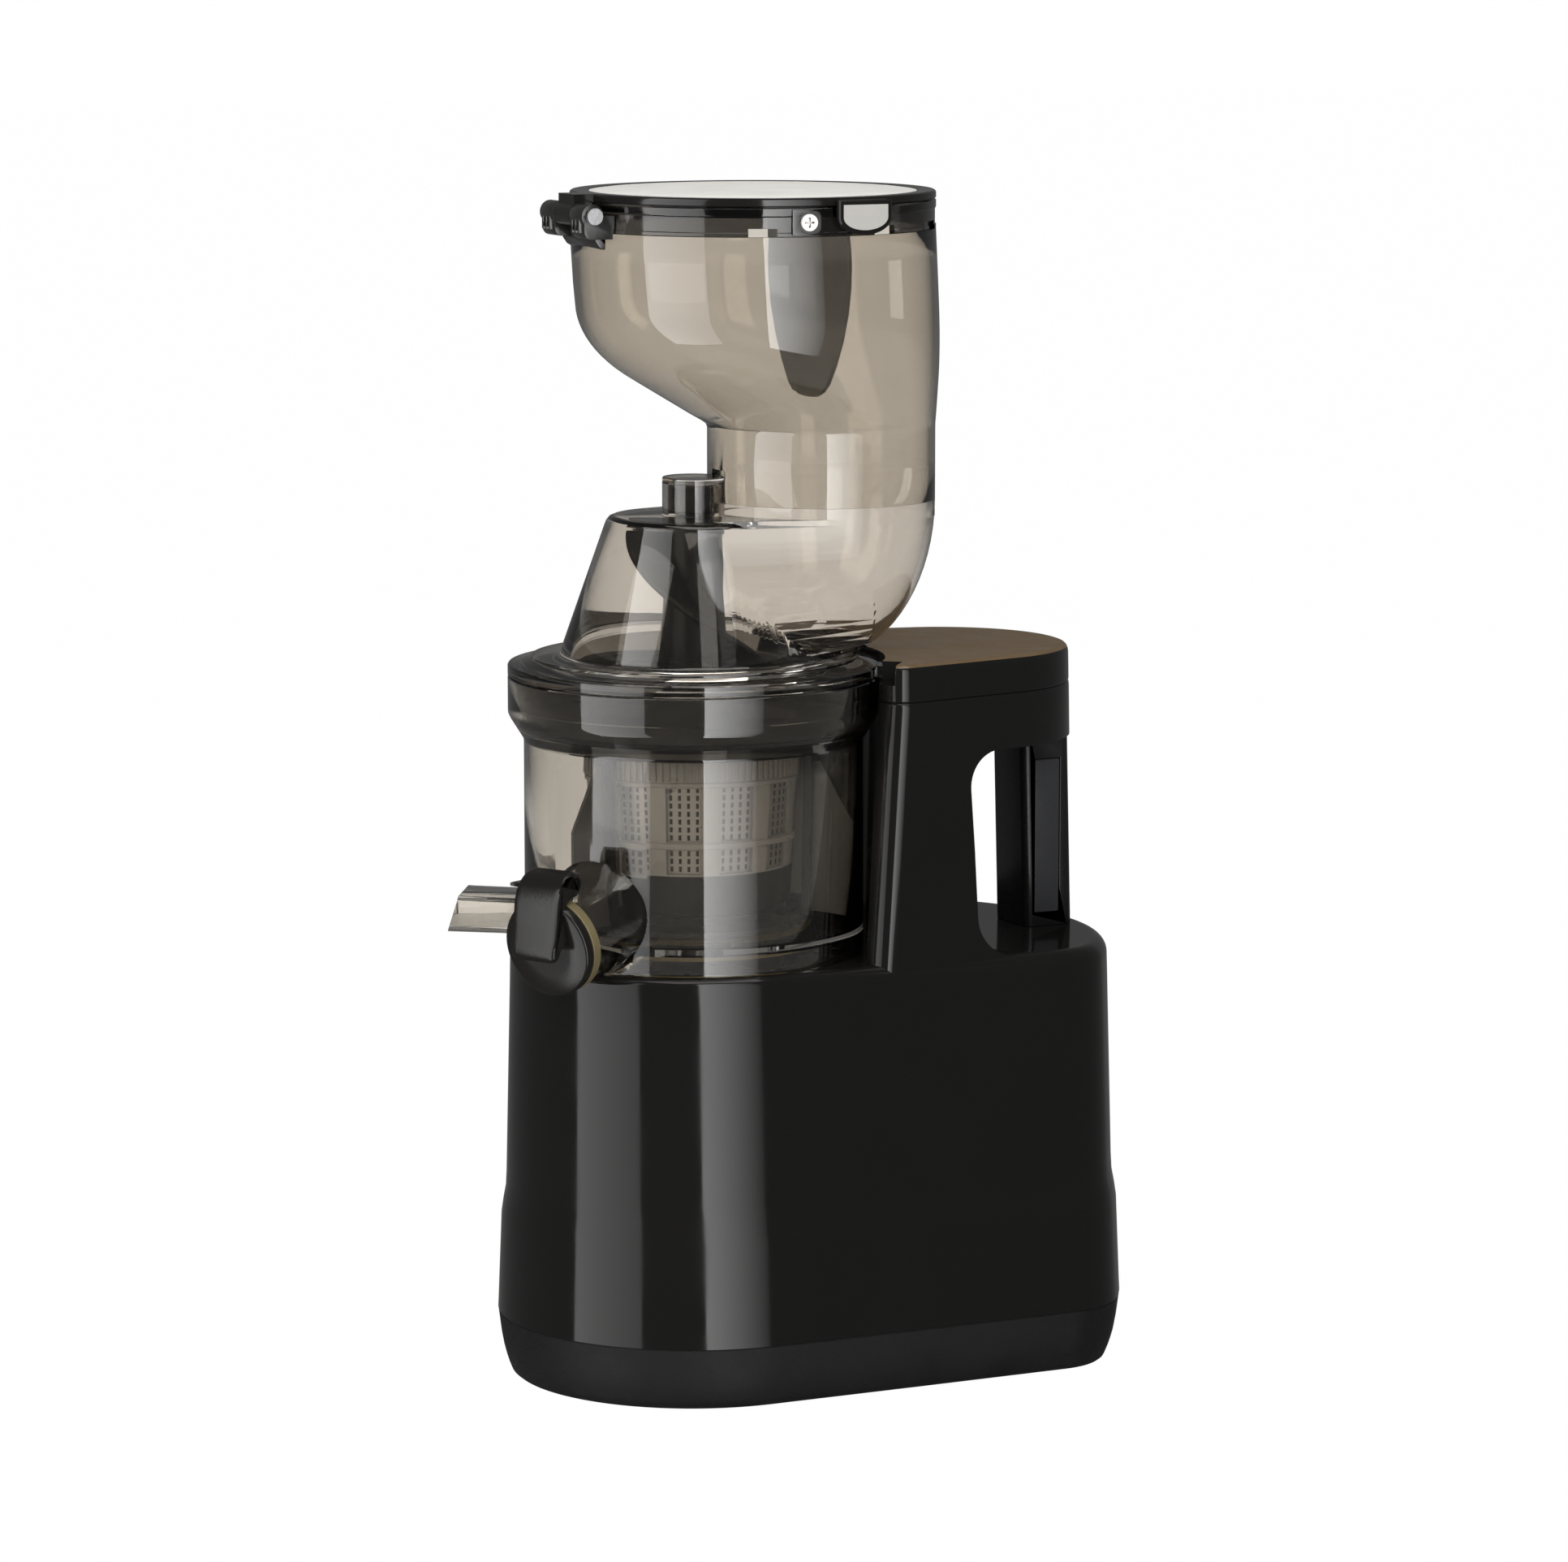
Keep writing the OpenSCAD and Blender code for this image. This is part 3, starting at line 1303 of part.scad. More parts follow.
// Clear cover: ring, cone, rounded chute bowl and bearing tube
module bowl_cover() color([0.42, 0.38, 0.34, 0.5]) on_axis() difference() {
    union() {
        cover_outside();
        chute_bowl(0);
        at_z(cone_top_z - clear_wall) linear_extrude(height = clear_wall) hull() {
            circle(r = cone_top_r - 2, $fn = 72);
            translate([0, chute_y]) circle(r = chute_r - 1, $fn = 72);
        }
        at_z(cone_top_z - clear_wall) cylinder(r = nub_r, h = nub_h + clear_wall);
        rotate(lug_angle) translate([rim_r - 3, -lug_w / 2, rim_z + seat_gap])
            cube([lug_r - rim_r + 3, lug_w, cover_plate_z - rim_z - seat_gap]);
    }
    cover_inside();
    chute_bowl(clear_wall);
    at_z(cone_top_z - clear_wall - 1) cylinder(r = nub_r - 2, h = nub_h + clear_wall - 1);
    rotate(lug_angle) translate([lug_r - 4, 0, rim_z + 1]) cylinder(r = 2.6, h = 20);
}

// Magnet in the cover's lug, which closes the interlock
module interlock_magnet() color([0.3, 0.3, 0.32]) on_axis() rotate(lug_angle)
    translate([lug_r - 4, 0, rim_z + 1]) cylinder(r = 2.55, h = 3);

// ---- Hopper ----

// Rounds of the hopper, with a rear wall that leans forward a little towards the mouth
module hopper_disc(r, z, inset) {
    part = (z - hopper_foot_z) / (hopper_top_z - hopper_foot_z);
    lean = hopper_lean * pow(max(part, 0), 1.3);
    translate([0, chute_y + chute_r - r - lean, z]) cylinder(r = r - inset, h = 0.05, $fn = 72);
}

module hopper_form(inset, lift) {
    at_z(lift) hull() {
        hopper_disc(chute_r, hopper_foot_z, inset);
        for (k = [0:4]) let (a = hopper_slope * (1 - k / 5))
            hopper_disc(mouth_r - 0.3 - hopper_round * (1 - cos(a)),
                        arc_top_z - hopper_stretch * hopper_round * sin(a), inset);
        hopper_disc(mouth_r - 0.1, arc_top_z + 8 * hopper_stretch, inset);
        hopper_disc(mouth_r, hopper_top_z - 0.05, inset);
    }
}

// Clear feed chute with the wide hopper on top, welded to the cover
module feed_chute() color([0.45, 0.41, 0.37, 0.5]) on_axis() difference() {
    union() {
        translate([0, chute_y, chute_joint_z])
            cylinder(r = chute_r, h = hopper_foot_z - chute_joint_z + 0.05);
        hopper_form(0, 0);
    }
    translate([0, chute_y, chute_joint_z - 1])
        cylinder(r = chute_r - clear_wall, h = hopper_foot_z - chute_joint_z + 3);
    hopper_form(clear_wall, 0);
    mouth_frame() at_z(hopper_top_z - 1) cylinder(r = mouth_r - clear_wall, h = 2);
    at_z(chute_joint_z - 1) cylinder(r = nub_r, h = cone_top_z + nub_h - chute_joint_z + 1);
}

module mouth_frame() {
    translate([0, mouth_y, 0]) children();
}

module screw_place() {
    mirror_copy() mouth_frame() rotate(asin((screw_y - mouth_y) / mouth_r))
        translate([mouth_r, 0, hopper_top_z + collar_h / 2]) rotate([0, 90, 0]) children();
}

// Dark collar around the hopper's mouth, with the two ears of the lid's hinge
module hopper_collar() color([0.12, 0.12, 0.12, 0.85]) on_axis() difference() {
    union() {
        mouth_frame() at_z(hopper_top_z) tube(mouth_r, collar_in, collar_h);
        mirror_copy() translate([knuckle_l / 2 + seat_gap, 0, 0]) hinge_ear();
        screw_place() at_z(-2) cylinder(r = 4, h = 2.4);
    }
    mouth_frame() at_z(hopper_top_z - 1) cylinder(r = collar_in, h = 3 * collar_h);
    mouth_frame() at_z(hopper_top_z - 20) cylinder(r = mouth_r + seat_gap, h = 20);
    translate([0, hinge_y, hinge_z]) rotate([0, 90, 0])
        cylinder(r = hinge_pin_r + run_gap, h = 2 * hinge_l, center = true);
    screw_place() cylinder(r = 1.3, h = 20, center = true);
}

module hinge_ear() {
    length = hinge_l / 2 - knuckle_l / 2 - seat_gap - 1;
    translate([0, hinge_y, hinge_z]) rotate([0, 90, 0])
        cylinder(r = hinge_barrel_r, h = length);
    translate([0, hinge_y - hinge_barrel_r, hopper_top_z + 0.5])
        cube([length, mouth_y - mouth_r + 4 - hinge_y + hinge_barrel_r,
              hinge_z - hopper_top_z - 0.5]);
}

module collar_screws() color("silver") on_axis() screw_place() {
    at_z(0.4) difference() {
        cylinder(r = 3, h = 1.2);
        at_z(0.6) for (a = [0, 90]) rotate(a) cube([3.6, 0.7, 2], center = true);
    }
    at_z(-4) cylinder(r = 1.25, h = 4.5);
}

// ---- Lid ----

// Rim of the lid, with its flange, hinge knuckle and finger tabs
module lid_rim() color([0.09, 0.09, 0.09]) on_axis() difference() {
    union() {
        mouth_frame() at_z(lid_z) tube(mouth_r, mouth_r - lid_frame_w, lid_rim_h);
        difference() {
            mouth_frame() at_z(hinge_z)
                tube(lid_flange_r, lid_flange_r - 2, lid_z - hinge_z + eps);
            translate([-lid_gap_x, hinge_y, hinge_z - 1])
                cube([2 * lid_gap_x, 40, lid_z - hinge_z + 1]);
        }
        translate([0, hinge_y, hinge_z]) rotate([0, 90, 0])
            cylinder(r = hinge_barrel_r, h = knuckle_l, center = true);
        translate([-knuckle_l / 2, hinge_y - 2, lid_z])
            cube([knuckle_l, mouth_y - mouth_r - hinge_y + 6, lid_rim_h]);
        translate([-knuckle_l / 2, hinge_y - 2, hinge_z])
            cube([knuckle_l, hinge_barrel_r + 1, lid_z - hinge_z + 1]);
        mirror_copy() finger_tab();
    }
    translate([0, hinge_y, hinge_z]) rotate([0, 90, 0])
        cylinder(r = hinge_pin_r + run_gap, h = 2 * hinge_l, center = true);
}

// Tab that hangs outside the collar, so that a finger can lift the lid
module finger_tab() {
    difference() {
        translate([mouth_r - 1, tab_y, lid_top_z - tab_h / 2 - 1.6]) rotate([90, 0, 90])
            difference() {
                linear_extrude(height = 3.6) union() {
                    translate([-tab_w / 2, 0]) square([tab_w, tab_h / 2 + 1]);
                    scale([1, tab_h / tab_w * 1.1]) circle(r = tab_w / 2, $fn = 48);
                }
                at_z(-eps) linear_extrude(height = 1.3)
                    translate([-tab_w, -tab_h * 2])
                        square([2 * tab_w, 2 * tab_h + lid_rim_h * 0.4]);
            }
        mouth_frame() at_z(lid_z - 40) cylinder(r = mouth_r + seat_gap, h = 40);
    }
}

// Clear window, slightly domed
module lid_window() color([0.55, 0.52, 0.48, 0.5]) on_axis() mouth_frame() {
    r = mouth_r - lid_frame_w - 0.02;
    at_z(lid_z + 0.5) cylinder(r = r, h = 2);
    at_z(lid_z + 2.5 - eps) rotate_extrude()
        polygon([[0, 0], [r, 0], [r * 0.85, lid_dome * 0.5], [r * 0.5, lid_dome * 0.9],
                 [0, lid_dome + 0.2]]);
}

// Soft tongue under the lid that keeps pieces from jumping back
module splash_flap() color([0.33, 0.33, 0.33]) on_axis() {
    top = lid_z + 0.5;
    low = hopper_top_z - flap_drop;
    r = flap_w * 0.3;
    translate([0, flap_y + 1, 0]) rotate([90, 0, 0]) linear_extrude(height = 2) hull() {
        translate([-flap_w / 2, low + flap_drop * 0.5]) square([flap_w, top - low - flap_drop * 0.5]);
        translate([0, low + r]) circle(r = r, $fn = 48);
    }
}

module hinge_pin() color("silver") on_axis() translate([0, hinge_y, hinge_z]) rotate([0, 90, 0]) {
    cylinder(r = hinge_pin_r, h = hinge_l, center = true);
    at_z(-hinge_l / 2 - 1.6) cylinder(r = 3, h = 2);
    at_z(hinge_l / 2 - 0.4) cylinder(r = 3, h = 2);
}

main_housing();
base_pan();
rubber_feet();
pan_screws();
bowl_deck();
deck_seal();
tower_cap();
handle_post();
handle_grips();
switch_bezel();
power_rocker();
cord_gland();
motor_can();
motor_end_bell();
motor_mounts();
stator_core();
stator_windings();
motor_bearings();
rotor_core();
motor_shaft();
cooling_fan();
gearbox_case();
gearbox_lid();
gearbox_screws();
layshaft();
second_gear();
output_gear();
drive_shaft();
output_bearings();
control_board();
board_parts();
run_capacitor();
interlock_sensor();
wiring_harness();
juice_bowl();
bowl_gasket();
juice_cap();
spout_seal();
cap_pin();
idler_gear();
idler_pin();
wiper_frame();
wiper_blades();
strainer_frame();
strainer_mesh();
auger();
auger_bush();
cover_seal();
bowl_cover();
interlock_magnet();
feed_chute();
hopper_collar();
collar_screws();
lid_rim();
lid_window();
splash_flap();
hinge_pin();
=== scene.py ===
import bmesh
import bpy
import math
from mathutils import Matrix, Vector


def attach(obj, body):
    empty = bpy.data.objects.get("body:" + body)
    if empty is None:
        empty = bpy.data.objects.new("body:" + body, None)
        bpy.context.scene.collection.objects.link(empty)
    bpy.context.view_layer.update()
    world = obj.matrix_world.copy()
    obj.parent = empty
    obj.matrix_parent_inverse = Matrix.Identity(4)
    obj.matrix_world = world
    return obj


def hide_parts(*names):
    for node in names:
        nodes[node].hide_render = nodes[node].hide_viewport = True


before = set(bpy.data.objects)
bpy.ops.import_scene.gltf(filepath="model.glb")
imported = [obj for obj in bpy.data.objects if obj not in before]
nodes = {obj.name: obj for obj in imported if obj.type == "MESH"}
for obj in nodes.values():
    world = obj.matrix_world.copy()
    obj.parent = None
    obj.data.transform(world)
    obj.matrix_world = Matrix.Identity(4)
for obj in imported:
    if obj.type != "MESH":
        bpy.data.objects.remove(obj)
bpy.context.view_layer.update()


# ---- Main housing ----
# The shell of the base and the tower is one injection moulding in high-gloss black ABS.
# It is drawn in a little at the skirt, its deck has a soft edge, and the tower is hollowed
# round the bowl and pierced for the carry handle. Sizes are in mm from the drive axis.
def let_go():
    if bpy.context.object and bpy.context.object.mode != "OBJECT":
        bpy.ops.object.mode_set(mode="OBJECT")
    bpy.ops.object.select_all(action="DESELECT")


def work_on(piece):
    let_go()
    piece.select_set(True)
    bpy.context.view_layer.objects.active = piece


def begin(name):
    """A new piece, open in edit mode with nothing in it."""
    let_go()
    bpy.ops.mesh.primitive_plane_add(size=1)
    piece = bpy.context.object
    piece.name = piece.data.name = name
    bpy.ops.object.mode_set(mode="EDIT")
    bpy.ops.mesh.select_mode(type="VERT")
    bpy.ops.mesh.delete(type="VERT")
    return piece


def lay_ring(outline, height):
    """A ring of corners on an outline, at one height or each at its own."""
    bpy.ops.mesh.select_all(action="DESELECT")
    bpy.ops.mesh.primitive_circle_add(vertices=len(outline), radius=1)
    mesh = bpy.context.object.data
    work = bmesh.from_edit_mesh(mesh)
    corners = [v for v in work.verts if v.select]
    for corner, (x, y, *own) in zip(corners, outline):
        corner.co = (x, y, own[0] if own else height)
    bmesh.update_edit_mesh(mesh)


def pick_faces(test):
    """Selects only the faces whose middle and direction pass the test."""
    bpy.ops.mesh.select_mode(type="FACE")
    bpy.ops.mesh.select_all(action="DESELECT")
    mesh = bpy.context.object.data
    work = bmesh.from_edit_mesh(mesh)
    for face in work.faces:
        if test(face.calc_center_median(), face.normal):
            face.select_set(True)
    bmesh.update_edit_mesh(mesh)


def pick_edges(test):
    """Selects only the edges whose two ends pass the test."""
    bpy.ops.mesh.select_mode(type="EDGE")
    bpy.ops.mesh.select_all(action="DESELECT")
    mesh = bpy.context.object.data
    work = bmesh.from_edit_mesh(mesh)
    for edge in work.edges:
        if test(edge.verts[0].co, edge.verts[1].co):
            edge.select_set(True)
    bmesh.update_edit_mesh(mesh)


def close_up(fill=True):
    """Merges doubled corners, closes open ends and turns every face outwards."""
    bpy.ops.mesh.select_mode(type="VERT")
    bpy.ops.mesh.select_all(action="SELECT")
    bpy.ops.mesh.remove_doubles(threshold=0.002)
    if fill:
        bpy.ops.mesh.fill_holes(sides=0)
        bpy.ops.mesh.select_all(action="SELECT")
    bpy.ops.mesh.normals_make_consistent(inside=False)
    bpy.ops.object.mode_set(mode="OBJECT")


def loft(name, rings):
    """A closed solid through a stack of rings: (outline, height)."""
    piece = begin(name)
    for outline, height in rings:
        lay_ring(outline, height)
    bpy.ops.mesh.select_all(action="SELECT")
    bpy.ops.mesh.bridge_edge_loops()
    close_up()
    return piece


def turn(name, profile, steps=128, sweep=360, about=(0, 0)):
    """A piece turned about an upright axis from a profile of (radius, height)."""
    piece = begin(name)
    bpy.ops.mesh.primitive_plane_add(size=0.01)
    bpy.ops.mesh.merge(type="CENTER")
    bpy.ops.transform.translate(value=(about[0] + profile[0][0], about[1], profile[0][1]))
    for (r0, z0), (r1, z1) in zip(profile, profile[1:]):
        bpy.ops.mesh.extrude_region_move(TRANSFORM_OT_translate={"value": (r1 - r0, 0, z1 - z0)})
    bpy.ops.mesh.select_all(action="SELECT")
    bpy.ops.mesh.spin(steps=steps, angle=math.radians(sweep), center=(*about, 0), axis=(0, 0, 1))
    close_up(fill=sweep < 360)
    return piece


def arc(cx, cy, r, first, last, count):
    """Points on an arc, from one angle to another in degrees."""
    return [(cx + r * math.cos(math.radians(first + (last - first) * k / count)),
             cy + r * math.sin(math.radians(first + (last - first) * k / count)))
            for k in range(count + 1)]


def place(piece, matrix):
    piece.matrix_world = matrix
    work_on(piece)
    bpy.ops.object.transform_apply(location=True, rotation=True, scale=True)
    return piece


def brick(name, low, high):
    """A block between two corners."""
    let_go()
    bpy.ops.mesh.primitive_cube_add(size=1)
    piece = bpy.context.object
    piece.name = piece.data.name = name
    low, high = Vector(low), Vector(high)
    return place(piece, Matrix.Translation((low + high) / 2) @ Matrix.Diagonal((*(high - low), 1)))


def apply(piece, kind, **settings):
    """Adds a modifier to a piece and applies it."""
    work_on(piece)
    modifier = piece.modifiers.new(kind.title(), kind)
    for key, value in settings.items():
        setattr(modifier, key, value)
    bpy.ops.object.modifier_apply(modifier=modifier.name)
    return piece


def cut(piece, *tools):
    for tool in tools:
        apply(piece, "BOOLEAN", operation="DIFFERENCE", solver="MANIFOLD", object=tool)
        bpy.data.objects.remove(tool)
    return piece


def weld(piece, *others):
    for other in others:
        apply(piece, "BOOLEAN", operation="UNION", solver="MANIFOLD", object=other)
        bpy.data.objects.remove(other)
    return piece


def soften(piece, width, segments=3, angle=40):
    """Breaks the sharp edges with a small radius."""
    return apply(piece, "BEVEL", width=width, segments=segments, limit_method="ANGLE",
                 angle_limit=math.radians(angle), use_clamp_overlap=True)


def gather(name, *pieces):
    """Joins pieces of one moulding into one mesh."""
    let_go()
    for piece in pieces:
        piece.select_set(True)
    bpy.context.view_layer.objects.active = pieces[0]
    if len(pieces) > 1:
        bpy.ops.object.join()
    pieces[0].name = pieces[0].data.name = name
    return pieces[0]


def coat(piece, *finishes):
    piece.data.materials.clear()
    for finish in finishes:
        piece.data.materials.append(finish)


DRIVE_AXIS = Vector((0.017, -0.036, 0))


def settle(piece, body, slot, finish, *stands_for, crease=32):
    """Brings a finished piece from mm about the drive axis to its place on its body."""
    if finish is not None:
        coat(piece, finish)
    place(piece, Matrix.Translation(DRIVE_AXIS) @ Matrix.Scale(0.001, 4))
    bpy.ops.object.shade_smooth_by_angle(angle=math.radians(crease))
    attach(piece, body)
    if stands_for:
        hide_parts(*stands_for)
    return piece


def even_out(piece):
    """Lets the broad faces rule the shading, so that long flat sides stay flat."""
    return apply(piece, "WEIGHTED_NORMAL", keep_sharp=True, weight=50)


def moulded(name, colour, rough, grain=1400, depth=0.04, drift=0.1, spread=0.25, metallic=0.0,
            specular=0.5):
    """A moulded or cast finish: fine surface grain, slow drift of colour and of polish."""
    finish = bpy.data.materials.new(name)
    finish.use_nodes = True
    tree = finish.node_tree
    shader = tree.nodes["Principled BSDF"]
    shader.inputs["Metallic"].default_value = metallic
    shader.inputs["Specular IOR Level"].default_value = specular
    where = tree.nodes.new("ShaderNodeTexCoord").outputs["Object"]

    def cloud(scale, detail):
        noise = tree.nodes.new("ShaderNodeTexNoise")
        noise.inputs["Scale"].default_value = scale
        noise.inputs["Detail"].default_value = detail
        tree.links.new(where, noise.inputs["Vector"])
        return noise.outputs["Fac"]

    shade = tree.nodes.new("ShaderNodeMix")
    shade.data_type = "RGBA"
    shade.inputs[6].default_value = (*[c * (1 - drift) for c in colour], 1)
    shade.inputs[7].default_value = (*[min(1, c * (1 + drift)) for c in colour], 1)
    tree.links.new(cloud(22, 4), shade.inputs[0])
    tree.links.new(shade.outputs[2], shader.inputs["Base Color"])
    polish = tree.nodes.new("ShaderNodeMapRange")
    polish.inputs["From Min"].default_value = 0.3
    polish.inputs["From Max"].default_value = 0.7
    polish.inputs["To Min"].default_value = rough * (1 - spread)
    polish.inputs["To Max"].default_value = rough * (1 + spread)
    tree.links.new(cloud(45, 6), polish.inputs["Value"])
    tree.links.new(polish.outputs["Result"], shader.inputs["Roughness"])
    bump = tree.nodes.new("ShaderNodeBump")
    bump.inputs["Strength"].default_value = depth
    bump.inputs["Distance"].default_value = 0.0004
    tree.links.new(cloud(grain, 2), bump.inputs["Height"])
    tree.links.new(bump.outputs["Normal"], shader.inputs["Normal"])
    return finish


GLOSS_BLACK = moulded("gloss_black_abs", (0.0068, 0.0066, 0.0064), 0.09, grain=160, depth=0.012,
                      drift=0.08, specular=0.2)

DECK_Z, PAN_Z = 158.5, 24.0
FRONT_R, SIDE_END_Y, BACK_R, CORNER_R = 73.5, 66.5, 100, 30


def base_outline(inset, squeeze):
    """Round front, nearly straight sides, crowned back with two rounded corners."""
    r, swing = FRONT_R - inset, BACK_R - CORNER_R
    corner_x = swing * math.sin(math.radians(38))
    corner_y = SIDE_END_Y + swing * math.cos(math.radians(38))
    points = arc(0, 0, r, -180, 0, 72)
    points += [(r, y) for y in (6, 60)] + arc(corner_x, corner_y, CORNER_R - inset, 0, 52, 14)
    points += arc(0, SIDE_END_Y, BACK_R - inset, 52, 128, 28)[1:]
    points += arc(-corner_x, corner_y, CORNER_R - inset, 128, 180, 14)[1:]
    points += [(-r, y) for y in (60, 6)]
    return [(x * (r - squeeze) / r, y) for x, y in points]


def shoulder(turn_in):
    """The soft edge of the deck, tighter at the front than at the back."""
    ring = []
    for (x0, y0), (x1, y1) in zip(base_outline(4.8, 3.2), base_outline(13.8, 3.2)):
        r = 2.6 + 3.4 * min(1, max(0, (y0 + 20) / 110))
        draw = r * (1 - math.cos(turn_in)) / 9
        ring.append((x0 + (x1 - x0) * draw, y0 + (y1 - y0) * draw,
                     DECK_Z - r * (1 - math.sin(turn_in))))
    return ring


levels = [(0, 0, PAN_Z), (0.15, 0.1, 27.5), (1.4, 0.5, 60), (2.1, 0.75, 65), (3.0, 1, 70),
          (3.25, 1.3, 76), (4.65, 3.0, 145.8)]
rings = [(base_outline(inset, squeeze), z) for inset, squeeze, z in levels]
shell = loft("main_shell", rings + [(shoulder(math.radians(a)), 0) for a in range(0, 91, 10)])
WALL = 2.6
levels = [(0, 0, 20)] + levels[2:] + [(4.8, 3.2, DECK_Z - WALL)]
base_room = loft("base_room", [(base_outline(inset + WALL, squeeze), z)
                               for inset, squeeze, z in levels])


def tower_outline(front_x, front_y, back_y, back_r, inset=0):
    """Two small front corners and one wide round back."""
    r, apart = 8 - inset, (front_x - 8, back_y - back_r - front_y - 8)
    side = math.degrees(math.acos((back_r - 8) / math.hypot(*apart))
                        - math.atan2(apart[1], apart[0]))
    points = arc(-front_x + 8, front_y + 8, r, 180 - side, 270, 16)
    points += arc(front_x - 8, front_y + 8, r, 270, 360 + side, 16)
    points += arc(0, back_y - back_r, back_r - inset, side, 180 - side, 72)
    return points


TOP = (57.0, 53.0, 150.0, 48.0)
FOOT = (66.5, 42.0, 150.0, 66.0)


def tower_at(part, inset=0):
    return tower_outline(*[a + (b - a) * part for a, b in zip(FOOT, TOP)], inset)


CRADLE_R, GRIP_Y, GRIP_TOP_Z = 70.5, 87, 233.5
tower = loft("tower", [(tower_at(0, 1.6), 140), (tower_at(0.1057, 0.05), 152),
                       (tower_at(0.5), 196.7), (tower_at(0.985), 251.8),
                       (tower_at(0.995, 0.1), 252.9), (tower_at(1, 0.5), 253.42)])
grip = brick("grip_tool", (-90, GRIP_Y, DECK_Z - 0.06), (90, 190, GRIP_TOP_Z))
bpy.ops.object.mode_set(mode="EDIT")
pick_edges(lambda a, b: a.y < 90 and b.y < 90 and abs(a.x - b.x) > 90)
bpy.ops.mesh.bevel(offset=14, segments=14, affect="EDGES")
bpy.ops.object.mode_set(mode="OBJECT")
cradle = turn("cradle_tool", [(0, DECK_Z - 30), (CRADLE_R, DECK_Z - 30), (CRADLE_R, 300),
                              (0, 300)])
tower_room = loft("tower_room", [(tower_at(0, WALL), 141), (tower_at(1, WALL), 254)])
grip_wall = brick("grip_wall", (-90, GRIP_Y - WALL, DECK_Z - WALL),
                  (90, 190, GRIP_TOP_Z + WALL))
cradle_wall = turn("cradle_wall", [(0, 100), (CRADLE_R + WALL, 100), (CRADLE_R + WALL, 300),
                                   (0, 300)])
cut(tower_room, cradle_wall, grip_wall)
cut(tower, cradle, grip)
soften(tower, 1.6, 4, 50)
cut(shell, turn("deck_tool", [(0, DECK_Z - 16), (54, DECK_Z - 16), (54, 200), (0, 200)]))
weld(shell, tower)
cut(shell, base_room, tower_room)
switch_tool = brick("switch_tool", (-78, 51.2, 97.2), (-66.2, 68.8, 126.8))
seat_tool = brick("bezel_tool", (-78, 48.2, 95.2), (-66.1, 71.8, 128.8))
gland_tool = turn("gland_tool", [(0, 0), (9.3, 0), (9.3, 30), (0, 30)], 48)
place(gland_tool, Matrix.Translation((0, 164.5, 42)) @ Matrix.Rotation(math.radians(-90), 4, "X"))
SLOT_PITCH, SLOT_HALF = 7, 1.2
slots = [brick("vent_tool", (SLOT_PITCH * i - SLOT_HALF, 150, 73),
               (SLOT_PITCH * i + SLOT_HALF, 175, 95)) for i in range(-3, 4)]
cut(shell, switch_tool, seat_tool, gland_tool, gather("vents", *slots))
main_housing = even_out(settle(shell, "base", "gloss_black", GLOSS_BLACK, "main_housing"))


# ---- Bottom pan, feet and screws ----
# The pan closes the base from below. It is moulded in matt black with a fine eroded grain,
# has an air grille under the motor, and is held by four screws that sit deep beside the feet.
MATT_BLACK = moulded("matt_black_grained", (0.006, 0.006, 0.0062), 0.5, grain=2600, depth=0.35,
                     drift=0.12, specular=0.12)
pan_levels = [(6.0, 0.5, 0.65), (4.8, 0.4, 1.6), (3.8, 0.3, 4.1), (2.9, 0.15, 7.0), (2.1, 0, 10.1),
              (1.2, 0, 15.0), (0.15, 0, 23.2), (0.55, 0, 23.9)]
pan = loft("pan_shell", [(base_outline(i, s), z) for i, s, z in pan_levels])
levels = [(inset + WALL, squeeze, z) for inset, squeeze, z in pan_levels[2:]]
cut(pan, loft("pan_room", [(base_outline(*level[:2]), level[2]) for level in levels] +
              [(base_outline(WALL + 0.55, 0), 26)]))
grille = [brick("slot", (SLOT_PITCH * i - SLOT_HALF, 55.5, -2),
                (SLOT_PITCH * i + SLOT_HALF, 89.5, 5)) for i in range(-4, 5)]
wells = []
for x, y, r, z in [(x, y, r, z) for x in (-1, 1) for y, r, z in
                   ((-30, 6.0, 3), (122, 6.0, 3), (-28, 3.9, 4), (108, 3.9, 4))]:
    side = 42 if r > 5 else 54
    wells.append(place(turn("well", [(0, -2), (r, -2), (r, z), (0, z)], 32),
                       Matrix.Translation((x * side, y, 0))))
cut(pan, gather("grille", *grille), gather("wells", *wells))
base_pan = even_out(settle(pan, "base", "matt_black", MATT_BLACK, "base_pan"))


def dress(finish, *names):
    """Gives CAD nodes that keep their own shape a finish."""
    for name in names:
        piece = nodes[name]
        for k in range(max(1, len(piece.material_slots))):
            if piece.material_slots:
                piece.material_slots[k].material = finish
            else:
                piece.data.materials.append(finish)


RUBBER = moulded("foot_rubber", (0.02, 0.02, 0.02), 0.75, grain=1800, depth=0.3, specular=0.3)
STEEL = moulded("bright_steel", (0.56, 0.56, 0.57), 0.24, grain=900, depth=0.05, metallic=1.0)
PLATED = moulded("zinc_plated_steel", (0.62, 0.62, 0.60), 0.32, grain=700, depth=0.08, metallic=1.0)
dress(RUBBER, "rubber_feet", "deck_seal", "motor_mounts")
dress(PLATED, "pan_screws", "gearbox_screws", "motor_can")


# ---- Deck plate ----
# A round satin black plate closes the housing under the bowl. The lip seal in its middle
# keeps juice off the gearbox, and the ground steel drive shaft comes up through it.
SATIN_BLACK = moulded("satin_black_abs", (0.008, 0.008, 0.0082), 0.28, grain=1600, depth=0.12,
                      specular=0.2)
dress(SATIN_BLACK, "bowl_deck", "cord_gland", "switch_bezel")
dress(STEEL, "drive_shaft", "motor_shaft", "layshaft", "idler_pin", "hinge_pin")


